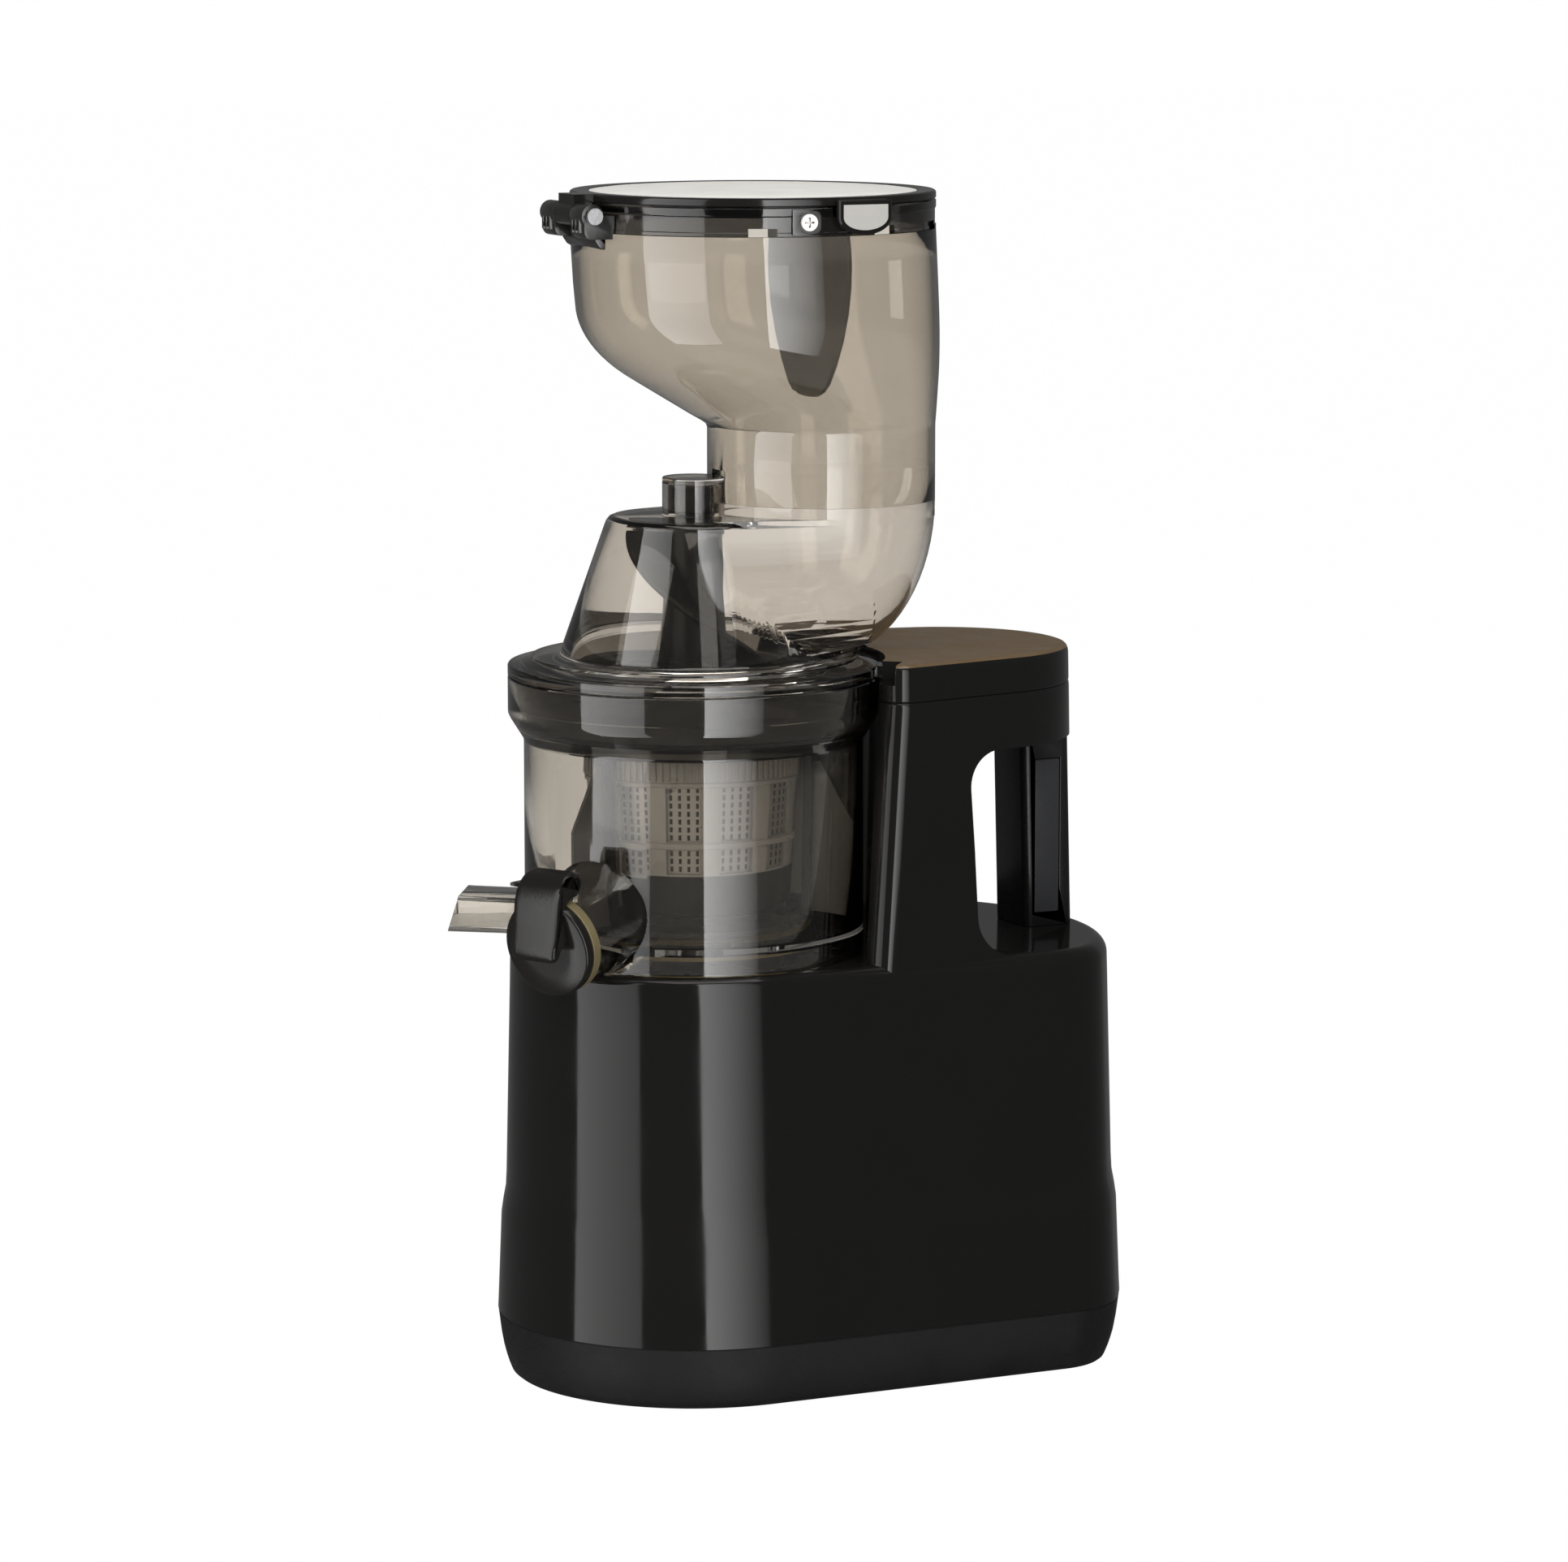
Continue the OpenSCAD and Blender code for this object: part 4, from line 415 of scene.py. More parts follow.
# ---- Tower cap ----
# The cap is a separate moulding that snaps onto the tower. Its side is as glossy as the housing,
# its top is given a warm brown satin colour as a painted reflection of a warm backdrop, and a
# notch lets the cover's lug turn in and lock.
TOP_PAINTED_REFLECTION = moulded("satin_brown_black", (0.092, 0.062, 0.032), 0.34, grain=2000, depth=0.1,
                    drift=0.05, specular=0.35)
cap = loft("cap_shell", [(tower_at(1, 0.5), 253.58), (tower_at(1, 0.1), 254.2),
                         (tower_at(1, 0.15), 258), (tower_at(1, 0.3), 264.3),
                         (tower_at(1, 0.45), 265.3), (tower_at(1, 0.9), 266.4),
                         (tower_at(1, 1.6), 267.1), (tower_at(1, 2.6), 267.45),
                         (tower_at(1, 3.0), 267.5)])
notch = turn("notch_tool", [(64.5, 260), (78, 260), (78, 275), (64.5, 275), (64.5, 260)], 24, 40.1)
place(notch, Matrix.Rotation(math.radians(60 - 6.03), 4, "Z"))
bowl_room = turn("room_tool", [(0, 240), (CRADLE_R, 240), (CRADLE_R, 300), (0, 300)])
cap_room = loft("cap_room", [(tower_at(1, WALL + 0.5), 250), (tower_at(1, WALL + 0.5), 264.6)])
cut(cap_room, turn("notch_wall", [(0, 240), (79, 240), (79, 300), (0, 300)]))
cut(cap, bowl_room, notch, cap_room)
soften(cap, 0.8, 3, 50)
# The cap's upward top faces take the warm brown, a painted reflection of a warm backdrop.
coat(cap, GLOSS_BLACK, TOP_PAINTED_REFLECTION)
for face in cap.data.polygons:
    face.material_index = int(face.center.z > 266.3 and face.normal.z > 0.45)
tower_cap = even_out(settle(cap, "base", "satin_brown_black", None, "tower_cap"))


# ---- Carry handle ----
# The post stands behind the opening, leans back a little towards its foot and carries a
# soft grey inlay in a shallow recess on each side.
GRIP_GREY = moulded("soft_grip_grey", (0.024, 0.0245, 0.027), 0.55, grain=2400, depth=0.3,
                    specular=0.15)
post = brick("post", (-13, 130, DECK_Z + 0.02), (13, 150, 233.46))
bpy.ops.object.mode_set(mode="EDIT")
pick_faces(lambda c, n: n.z < -0.5)
bpy.ops.transform.translate(value=(0, 2, 0))
pick_edges(lambda a, b: abs(a.z - b.z) > 50)
bpy.ops.mesh.bevel(offset=3, segments=8, affect="EDGES")
bpy.ops.object.mode_set(mode="OBJECT")
for side in (-1, 1):
    low, high = sorted((side * 11, side * 16))
    cut(post, brick("recess_tool", (low, 135, 163.5), (high, 146, 222.5)))
handle_post = settle(soften(post, 0.4, 2, 60), "base", "satin_black", SATIN_BLACK, "handle_post")
inlays = [brick("inlay", (min(s * 11.05, s * 13.1), 135.15, 163.65),
                (max(s * 11.05, s * 13.1), 145.85, 222.35)) for s in (-1, 1)]
inlays = gather("grip_inlays", *inlays)
handle_grips = settle(soften(inlays, 0.7, 3), "base", "soft_grip", GRIP_GREY, "handle_grips")


# ---- Power switch ----
# A rocker switch is snapped into a shallow pocket of the far side wall.
dress(moulded("rocker_black", (0.02, 0.02, 0.021), 0.28, grain=1500, depth=0.1), "power_rocker")


# ---- Motor, gearbox and electronics ----
# Inside the base an induction motor drives a two-stage gearbox that hangs from the deck.
# Nothing of it shows from outside. Each part has the finish that it comes with.
dress(moulded("cast_alloy", (0.42, 0.42, 0.43), 0.48, grain=420, depth=0.5, metallic=1.0),
      "motor_end_bell", "gearbox_case", "gearbox_lid")
dress(moulded("lamination_steel", (0.30, 0.30, 0.31), 0.42, grain=900, depth=0.3, metallic=1.0),
      "stator_core", "rotor_core")
dress(moulded("enamelled_copper", (0.62, 0.27, 0.12), 0.3, grain=300, depth=0.5, metallic=1.0),
      "stator_windings")
dress(STEEL, "motor_bearings", "output_bearings")
dress(moulded("grey_nylon", (0.30, 0.30, 0.31), 0.45, grain=900, depth=0.15), "cooling_fan",
      "interlock_sensor")
dress(moulded("sintered_steel", (0.34, 0.33, 0.32), 0.5, grain=1200, depth=0.4, metallic=1.0),
      "second_gear", "output_gear")
dress(moulded("board_green", (0.02, 0.14, 0.06), 0.35, grain=260, depth=0.2), "control_board")
dress(moulded("component_blue", (0.03, 0.08, 0.22), 0.35, grain=500, depth=0.1), "board_parts",
      "run_capacitor")
dress(moulded("red_wire_pvc", (0.42, 0.03, 0.03), 0.4, grain=700, depth=0.1), "wiring_harness")


# ---- Bowl, juice spout and pulp chute ----
# One moulding in smoke-tinted clear copolyester: the wall flares into a thicker rim, the
# spout leaves it in a cone at the front, and a covered pulp chute leaves it at the far side.
# Its rim takes a darker tint, which is painted shade; it is the same plastic.
def smoked(name, tint, rough=0.035, haze=0.02, ripple=0.05, uneven=0.5):
    """Clear plastic with a tint, faint moulding ripples and a little uneven polish. Lamps
    shine through it with the same tint."""
    finish = moulded(name, tint, rough, grain=26, depth=ripple, drift=haze, spread=uneven)
    tree = finish.node_tree
    shader = tree.nodes["Principled BSDF"]
    shader.inputs["Transmission Weight"].default_value = 1.0
    shader.inputs["IOR"].default_value = 1.46
    veil = tree.nodes.new("ShaderNodeBsdfTransparent")
    veil.inputs["Color"].default_value = (*[c ** 0.5 for c in tint], 1)
    path = tree.nodes.new("ShaderNodeLightPath")
    both = tree.nodes.new("ShaderNodeMixShader")
    tree.links.new(path.outputs["Is Shadow Ray"], both.inputs[0])
    tree.links.new(shader.outputs[0], both.inputs[1])
    tree.links.new(veil.outputs[0], both.inputs[2])
    tree.links.new(both.outputs[0], tree.nodes["Material Output"].inputs["Surface"])
    return finish


SMOKE_CLEAR = smoked("smoke_clear", (0.70, 0.665, 0.61))

SPOUT = (Matrix.Rotation(math.radians(-60), 4, "Z") @ Matrix.Translation((87, 0, 172.5))
         @ Matrix.Rotation(math.radians(102), 4, "Y"))
PULP = Matrix.Rotation(math.radians(210), 4, "Z")
FLOOR_Z, FOOT_Z, LEDGE_Z = 168.5, 158.8, 242.0

bowl = turn("bowl_shell", [
    (7.3, 166), (60.1, 166), (60.1, 159.1), (60.4, 158.8), (62.2, 158.8), (62.6, 159.2),
    (62.6, 237.2), (62.9, 238.4), (67.6, 245.9), (68.3, 247.4), (68.4, 248.6), (68.4, 260.6),
    (68.0, 261), (66.3, 261), (65.9, 260.6), (65.9, 248.4), (63.4, 242.2), (63.1, 242),
    (60.1, 242), (60.1, 169.7), (59.7, 168.9), (58.9, 168.5), (10.1, 168.5), (8.9, 169.2),
    (8.9, 174.5), (7.3, 174.5), (7.3, 166)])
cone = [(0, -30), (21.6, -30), (20.2, -26), (18.9, -21), (17.9, -15), (17.2, -9), (17, -5),
        (17, -0.4), (16.6, 0), (0, 0)]
room = [(0, -33), (20.4, -33), (18.4, -27), (16.8, -20), (15.5, -13), (14.7, -8), (14.6, 1), (0, 1)]
spout = place(turn("spout_shell", cone, 96), SPOUT)
spout_room = place(turn("spout_tool", room, 96), SPOUT)


def side_block(name, outline, half):
    """A block drawn from the side, in radius and height, and as wide as twice half."""
    piece = begin(name)
    lay_ring(outline, 0)
    bpy.ops.mesh.edge_face_add()
    bpy.ops.mesh.extrude_region_move(TRANSFORM_OT_translate={"value": (0, 0, 2 * half)})
    close_up()
    return place(piece, Matrix(((1, 0, 0, 0), (0, 0, -1, half), (0, 1, 0, 0), (0, 0, 0, 1))))


def pulp_side(draw):
    return [(60.6 - draw, FOOT_Z + draw), (69.6, FOOT_Z + draw), (117, 155.4 + draw),
            (117, 169.4 - draw), (69.6, 172.8 - draw), (60.6 - draw, 172.8 - draw)]


chute = side_block("pulp_chute", pulp_side(0), 13)
bpy.ops.object.mode_set(mode="EDIT")
bpy.ops.mesh.select_all(action="SELECT")
end = Matrix.Rotation(math.radians(30), 3, "Z") @ Matrix.Rotation(math.radians(-18), 3, "Y")
bpy.ops.mesh.bisect(plane_co=(109, 0, 166.8), plane_no=end @ Vector((1, 0, 0)), use_fill=True,
                    clear_outer=True)
bpy.ops.object.mode_set(mode="OBJECT")
soften(chute, 1.2, 3, 50)
chute_room = soften(side_block("chute_tool", pulp_side(2), 11), 0.8, 2, 50)
duct = brick("duct_shell", (15, -13, FOOT_Z), (60.1, 13, 166.5))
duct_room = brick("duct_tool", (17, -11, 160), (64, 11, 166))
outlet = brick("outlet_tool", (17, -9, 163), (26, 9, 173))
ledge = soften(brick("chute_ledge", (61.6, -8, 175.3), (79.6, 8, 176.9)), 0.5, 2, 50)
for piece in (chute, chute_room, duct, duct_room, outlet, ledge):
    place(piece, PULP)
lug = [(-25.6, -6.2), (-25.4, -3.6), (-23.8, -2.85), (-22.2, -2.8), (-15.2, -2.8), (-15.2, -9.2),
       (-22.2, -9.2), (-24.2, -8.6), (-25.2, -7.6)]
lug = place(side_block("cap_lug", [(-x, z) for x, z in lug], 7),
            SPOUT @ Matrix.Rotation(math.pi, 4, "Z"))
weld(bowl, spout, chute, duct, ledge, lug)
core = turn("core_tool", [(10.2, 168.52), (58.9, 168.52), (60.05, 169.72), (60.05, 240),
                          (10.2, 240), (10.2, 168.52)])
cut(spout_room, turn("keep_tool", [(0, 140), (62.6, 140), (62.6, FLOOR_Z), (0, FLOOR_Z)]))
cut(bowl, core, spout_room, chute_room, duct_room, outlet)
# A darker tint of the same clear plastic for the bowl's rim and the cover's skirt and ledge:
# painted shade.
SMOKE_RING_PAINTED_SHADE = smoked("smoke_ring_painted_shade", (0.4, 0.375, 0.34))
coat(bowl, SMOKE_CLEAR, SMOKE_RING_PAINTED_SHADE)
for face in bowl.data.polygons:
    face.material_index = int(face.center.z > 237.5)
juice_bowl = settle(bowl, "bowl", "smoke_clear", None, "juice_bowl")


# ---- Juice cap ----
# A black lever cap closes the spout over a silicone sleeve. Its lever is moulded with soft
# edges and a turned-out lip for the thumb, and a short steel pin holds it on the spout.
OLIVE = moulded("olive_silicone", (0.115, 0.094, 0.045), 0.42, grain=700, depth=0.15, specular=0.4)
CAP_BLACK = moulded("cap_black", (0.008, 0.0074, 0.0068), 0.2, grain=1300, depth=0.06,
                    drift=0.12, specular=0.22)
dress(OLIVE, "bowl_gasket")
sleeve = turn("spout_sleeve", [(17.02, -4), (18.1, -4), (18.3, -3.7), (18.3, -0.3), (18.1, 0),
                               (17.02, 0), (17.02, -4)], 96)
cut(sleeve, brick("sleeve_tool", (-24, -7.1, -20), (-4, 7.1, 20)))
spout_seal = settle(place(sleeve, SPOUT), "bowl", "olive_silicone", OLIVE, "spout_seal")

disc = turn("cap_disc", [(0, 1.9), (12.6, 1.9), (12.6, 0.3), (17.8, 0.3), (18.2, 0.7), (18.2, 3.4),
                         (17.9, 3.9), (17.2, 4.25), (10, 4.3), (0, 4.3)], 96)
lever_side = [(-26.9, -6), (-26.9, -4.2), (-26.3, -1.0), (-25.0, 1.6), (-22.8, 4.0), (-19.0, 6.2),
              (-14.5, 7.9), (-10, 9.4), (-6, 10.8), (-3.6, 11.9), (-1.4, 12.6), (0.4, 12.7),
              (1.7, 12.1), (1.8, 11.1), (0.8, 9.8), (-0.6, 8.2), (-1.6, 6.2), (-2, 4.4),
              (-2.2, 2.6), (-16.9, 1.4), (-18.8, -3), (-18.3, -6), (-19.4, -9), (-22.2, -10.7),
              (-25.2, -9.6)]


def slimmer(share):
    """The lever's side drawn in evenly towards its own middle line."""
    return [(x + (-14 - x) * share, z + (2 + x * -0.25 - z) * share) for x, z in lever_side]


lever = begin("cap_lever")
for share, half in ((0.10, -9.6), (0.035, -9.1), (0.008, -8.3), (0, -7.2),
                    (0, 7.2), (0.008, 8.3), (0.035, 9.1), (0.10, 9.6)):
    lay_ring(slimmer(share), half)
bpy.ops.mesh.select_all(action="SELECT")
bpy.ops.mesh.bridge_edge_loops()
close_up()
place(lever, Matrix(((1, 0, 0, 0), (0, 0, -1, 0), (0, 1, 0, 0), (0, 0, 0, 1))))
weld(disc, lever)
fork = brick("fork_tool", (-26, -7.3, -26), (-14.2, 7.3, -2.4))
wide = brick("wide_tool", (-38, -7.3, -30), (-18, 7.3, -6))
eye = place(turn("eye_tool", [(0, -7.3), (3.5, -7.3), (3.5, 7.3), (0, 7.3)], 32),
            Matrix.Translation((-22.2, 0, -6)) @ Matrix.Rotation(math.radians(90), 4, "X"))
pin_line = Matrix.Translation((-22.2, 0, -6)) @ Matrix.Rotation(math.radians(90), 4, "X")
ends = [place(turn("pin_recess", [(0, 8.6), (2.3, 8.6), (2.3, 14), (0, 14)], 32),
              pin_line @ Matrix.Rotation(math.radians(s * 90 - 90), 4, "X"))
        for s in (-1, 1)]
cut(disc, fork, wide, eye, *ends)
juice_cap = settle(place(disc, SPOUT), "cap", "satin_black", CAP_BLACK, "juice_cap", crease=38)
pin = turn("cap_hinge_pin", [(0, -8.5), (1.1, -8.5), (1.5, -8.1), (1.5, 8.1), (1.1, 8.5),
                             (0, 8.5)], 40)
cap_pin = settle(place(pin, SPOUT @ pin_line), "bowl", "steel", STEEL, "cap_pin")


# ---- Strainer ----
# The strainer cup hangs in the bowl by its flange. Its frame is black at its foot and flange
# and grey between, moulded round two rows of windows of steel mesh, with upright ribs above.
FRAME_GREY = moulded("strainer_grey", (0.2, 0.19, 0.175), 0.34, grain=1200, depth=0.1)
FRAME_BLACK = moulded("strainer_black", (0.01, 0.0095, 0.009), 0.34, grain=1200, depth=0.1,
                      specular=0.15)
WIPER_GREY = moulded("wiper_grey", (0.014, 0.0135, 0.013), 0.3, grain=1200, depth=0.1,
                     specular=0.18)
SILICONE = moulded("grey_silicone", (0.045, 0.043, 0.04), 0.4, grain=900, depth=0.12)
STRAINER_Z = 174.6


def strainer_r(z):
    return 36.4 + 3.6 * (z - STRAINER_Z) / (LEDGE_Z - STRAINER_Z)


frame_cup = turn("strainer_cup", [
    (14.95, 174.6), (35.9, 174.6), (36.4, 175.1), (strainer_r(190.4), 190.4),
    (strainer_r(190.6), 190.6), (strainer_r(201.2), 201.2), (strainer_r(201.5) + 0.9, 201.5),
    (strainer_r(203.5) + 0.9, 203.5), (strainer_r(203.8), 203.8), (strainer_r(225.2), 225.2),
    (strainer_r(225.5) + 0.8, 225.5), (strainer_r(226.9) + 0.8, 226.9),
    (strainer_r(227.2), 227.2), (40, 242), (62.5, 242), (62.8, 242.3), (62.8, 243.7),
    (62.5, 244), (38.4, 244), (strainer_r(STRAINER_Z) - 1.5, 176.6), (14.95, 176.6),
    (14.95, 174.6)])
windows = []
for k in range(12):
    for low, high in ((191.2, 201), (204, 225)):
        pane = brick("window_tool", (30.4, -6.5, low), (42.4, 6.5, high))
        windows.append(place(pane, Matrix.Rotation(math.radians(30 * k), 4, "Z")))
cut(frame_cup, gather("window_tools", *windows))
rib = soften(brick("strainer_rib", (38.6, -0.35, 227.6), (40.3, 0.35, 238.0)), 0.15, 1)
bpy.ops.object.mode_set(mode="EDIT")
bpy.ops.mesh.select_all(action="SELECT")
bpy.ops.mesh.spin(steps=95, angle=math.tau * 95 / 96, center=(0, 0, 0), axis=(0, 0, 1), dupli=True)
bpy.ops.object.mode_set(mode="OBJECT")
coat(rib, FRAME_GREY, FRAME_BLACK)
coat(frame_cup, FRAME_GREY, FRAME_BLACK)
for face in frame_cup.data.polygons:
    x, y, z = face.center
    face.material_index = int(not 190.5 < z < 238.2 or math.hypot(x, y) > 42)
strainer_frame = settle(gather("strainer_frame_piece", frame_cup, rib), "bowl", "smoke_grey",
                        None, "strainer_frame")

MESH_STEEL = moulded("strainer_mesh_steel", (0.30, 0.285, 0.265), 0.35, grain=1500, depth=0.1,
                     metallic=0.6)
tree = MESH_STEEL.node_tree
centred = tree.nodes.new("ShaderNodeMapping")
centred.inputs["Location"].default_value = -DRIVE_AXIS
tree.links.new(tree.nodes["Texture Coordinate"].outputs["Object"], centred.inputs["Vector"])
split = tree.nodes.new("ShaderNodeSeparateXYZ")
tree.links.new(centred.outputs[0], split.inputs[0])


def reckon(tree, kind, a, b=None):
    """One step of arithmetic on values or sockets, in a material or in the world."""
    step = tree.nodes.new("ShaderNodeMath")
    step.operation = kind
    for k, value in enumerate((a, b)):
        if isinstance(value, (int, float)):
            step.inputs[k].default_value = value
        elif value is not None:
            tree.links.new(value, step.inputs[k])
    return step.outputs[0]


around = reckon(tree, "MULTIPLY", reckon(tree, "ARCTAN2", split.outputs["Y"], split.outputs["X"]),
                72 / math.tau)
across = reckon(tree, "LESS_THAN", reckon(tree, "ABSOLUTE", reckon(
    tree, "SUBTRACT", reckon(tree, "FRACT", around), 0.5)), 0.17)
upward = reckon(tree, "LESS_THAN", reckon(tree, "FRACT", reckon(
    tree, "MULTIPLY", split.outputs["Z"], 1 / 0.0031)), 0.66)
holes = reckon(tree, "MULTIPLY", across, upward)
pierced = tree.nodes.new("ShaderNodeMix")
pierced.data_type = "RGBA"
shader = tree.nodes["Principled BSDF"]
tree.links.new(holes, pierced.inputs[0])
tree.links.new(shader.inputs["Base Color"].links[0].from_socket, pierced.inputs[6])
pierced.inputs[7].default_value = (0.012, 0.011, 0.010, 1)
tree.links.new(pierced.outputs[2], shader.inputs["Base Color"])
z0, z1 = 179.6, 228.0
mesh_cup = turn("mesh_cup", [(strainer_r(z0) - 1.85, z0), (strainer_r(z1) - 1.85, z1),
                             (strainer_r(z1) - 2.25, z1), (strainer_r(z0) - 2.25, z0),
                             (strainer_r(z0) - 1.85, z0)], 144)
strainer_mesh = settle(mesh_cup, "bowl", "steel", MESH_STEEL, "strainer_mesh")


# ---- Wiper, idler and bowl gears ----
# The wiper turns round the strainer on its ring gear. Silicone blades on its three posts
# sweep the mesh and the bowl, so they are dressed as they are.
dress(WIPER_GREY, "wiper_frame")
dress(SILICONE, "wiper_blades")
dress(moulded("gear_nylon", (0.62, 0.60, 0.54), 0.42, grain=900, depth=0.1), "idler_gear")


# ---- Auger ----
# The squeezing screw is moulded in black glass-filled plastic: two flights below press the
# pulp, and one wide blade above cuts what falls from the chute and draws it down.
AUGER_BLACK = moulded("auger_black", (0.007, 0.0066, 0.0062), 0.22, grain=900, depth=0.06,
                      drift=0.15, specular=0.16)


def twisted(name, outline, foot, head, turn_by, narrow, steps):
    """A bar that rises in small steps, turning and narrowing as it goes."""
    piece = begin(name)
    lay_ring(outline, foot)
    bpy.ops.mesh.edge_face_add()
    for step in range(1, steps + 1):
        bpy.ops.mesh.extrude_region_move(
            TRANSFORM_OT_translate={"value": (0, 0, (head - foot) / steps)})
        work = bmesh.from_edit_mesh(piece.data)
        size = (1 + (narrow - 1) * step / steps) / (1 + (narrow - 1) * (step - 1) / steps)
        bmesh.ops.transform(work, verts=[v for v in work.verts if v.select],
                            matrix=Matrix.Rotation(math.radians(turn_by / steps), 4, "Z")
                            @ Matrix.Diagonal((size, size, 1, 1)))
        bmesh.update_edit_mesh(piece.data)
    close_up()
    return piece


def arm(reach, thick, start):
    """Plan of a flight: straight sides and a rounded tip."""
    plan = [(0, -thick / 2), (reach * 0.5, -thick / 2)]
    plan += arc(reach - thick / 2, 0, thick / 2, -90, 90, 8)
    plan += [(reach * 0.5, thick / 2), (0, thick / 2)]
    a = math.radians(start)
    return [(x * math.cos(a) - y * math.sin(a), x * math.sin(a) + y * math.cos(a)) for x, y in plan]


body = turn("auger_core", [
    (0, 173.8), (10.8, 173.8), (10.8, 177.2), (25.6, 177.2), (26, 177.6), (27, 185.2), (18, 242),
    (13, 260.5), (11, 290), (11, 316), (10.6, 316.4), (6.6, 316.4), (6.6, 329.6), (6.2, 330),
    (0, 330)], 96)
flights = [twisted("flight", arm(32, 4, a), 177.2, 242, -300, 1.08, 60) for a in (0, 180)]
blade = twisted("blade", arm(34, 6, 76.5), 250, 315.4, -190, 0.72, 48)
tooth = begin("pinion_tooth")
lay_ring([(10.5, -1.5), (11.2, -1.45), (12.5, -0.95), (13.6, -0.4), (13.6, 0.4), (12.5, 0.95),
          (11.2, 1.45), (10.5, 1.5)], 168.8)
bpy.ops.mesh.edge_face_add()
bpy.ops.mesh.extrude_region_move(TRANSFORM_OT_translate={"value": (0, 0, 5)})
bpy.ops.mesh.select_all(action="SELECT")
bpy.ops.mesh.spin(steps=19, angle=math.tau * 19 / 20, center=(0, 0, 0), axis=(0, 0, 1), dupli=True)
close_up()
place(tooth, Matrix.Rotation(math.radians(90), 4, "Z"))
pinion = turn("pinion_disc", [(0, 168.8), (11, 168.8), (11, 173.8), (0, 173.8)], 40)
weld(body, *flights, blade, pinion)
socket = turn("socket_tool", [(0, 165), (9.2, 165), (9.2, 176), (6.5, 176.1), (6.5, 194),
                              (0, 194)], 6)
cut(body, socket)
auger = settle(gather("auger_screw", body, tooth), "auger", "auger_black", AUGER_BLACK, "auger")
dress(AUGER_BLACK, "auger_bush")


# ---- Seal and cover ----
# The cover drops onto the bowl over a soft black ring and locks with a lug that turns into
# the tower. It is one clear moulding: skirt, ring, cone, flat top with the auger's bearing
# tube, and the deep rounded bowl at the foot of the chute.
dress(moulded("seal_black", (0.022, 0.021, 0.02), 0.5, grain=900, depth=0.15), "cover_seal")
dress(moulded("magnet_nickel", (0.30, 0.30, 0.32), 0.3, grain=500, depth=0.1, metallic=1.0),
      "interlock_magnet")
SMOKE_COVER = smoked("smoke_cover", (0.73, 0.69, 0.635), 0.03)

cover = turn("cover_shell", [
    (0, 250), (65.2, 250), (65.6, 250.4), (65.6, 261.3), (68.0, 261.3), (68.4, 261.7),
    (68.4, 265.0), (68.0, 265.6), (66.5, 265.95), (60.3, 267.25), (60, 267.5), (60, 268.1),
    (59.6, 268.5), (50.4, 268.5), (49.6, 268.9), (49.1, 269.7), (32.6, 316.6), (31.9, 318.2),
    (30.9, 319.4), (29.4, 320), (0, 320)], 144)
inner = turn("cover_tool", [
    (0, 240), (62.6, 240), (62.6, 262.6), (62.1, 263.1), (48.1, 263.1), (47.4, 263.6),
    (47.1, 264.4), (47.1, 268.9), (30.6, 315.8), (29.6, 317.2), (28, 317.6), (0, 317.6)], 144)


def chute_bowl(name, draw):
    wall = [(0, 324 + draw)] + [((42.2 - draw) * math.cos(math.radians(t)),
                                 324 + draw * (t == 0) - (60.5 - draw) * math.sin(math.radians(t)))
                                for t in range(0, 90, 5)] + [(0, 263.5 + draw)]
    return turn(name, wall, 128, about=(0, 52))


def oval_plate(r1, r2, low, high, name):
    lean = math.degrees(math.asin((r2 - r1) / 52))
    plan = arc(0, 0, r1, 180 + lean, 360 - lean, 60) + arc(0, 52, r2, -lean, 180 + lean, 90)
    return loft(name, [(plan, low), (plan, high)])


def flank(name, draw, heights):
    """The wall that wraps the cone and the chute's bowl together, drawn in by its thickness."""
    rings = []
    for z in heights:
        cone_r = 49.1 - 16.5 * (z - 269.7) / 46.9 - draw
        bowl_r = 42.2 * math.sqrt(1 - ((324 - z) / 60.5) ** 2) - draw
        lean = math.degrees(math.asin((bowl_r - cone_r) / 52))
        rings.append((arc(0, 0, cone_r, 180 + lean, 360 - lean, 60)
                      + arc(0, 52, bowl_r, -lean, 180 + lean, 90), z))
    return loft(name, rings)


plate = oval_plate(29.3, 42.1, 317.6, 320, "plate")
outer_flank = flank("flank", 0.05, [267.5 + 3.34 * k for k in range(16)])
inner_flank = flank("flank_tool", 2.45, [270.9 + 3.113 * k for k in range(16)])
nub = turn("nub", [(0, 317), (11.4, 317), (11.4, 333.6), (11.0, 334), (0, 334)], 72)
lug = brick("cover_lug", (65.4, -6, 261.3), (76, 6, 265.5))
bpy.ops.object.mode_set(mode="EDIT")
pick_edges(lambda a, b: a.x > 75 and b.x > 75 and abs(a.z - b.z) > 3)
bpy.ops.mesh.bevel(offset=1.5, segments=4, affect="EDGES")
bpy.ops.object.mode_set(mode="OBJECT")
magnet_hole = turn("magnet_tool", [(0, 262), (2.6, 262), (2.6, 282), (0, 282)], 40, about=(72, 0))
for piece in (lug, magnet_hole):
    place(piece, Matrix.Rotation(math.radians(60), 4, "Z"))
weld(cover, chute_bowl("chute_bowl_shell", 0), outer_flank, plate, nub, lug)
nub_room = turn("nub_tool", [(0, 310), (9.4, 310), (9.4, 331.6), (9.0, 332), (0, 332)], 72)
cut(cover, inner, chute_bowl("chute_bowl_tool", 2.4), inner_flank, nub_room, magnet_hole)
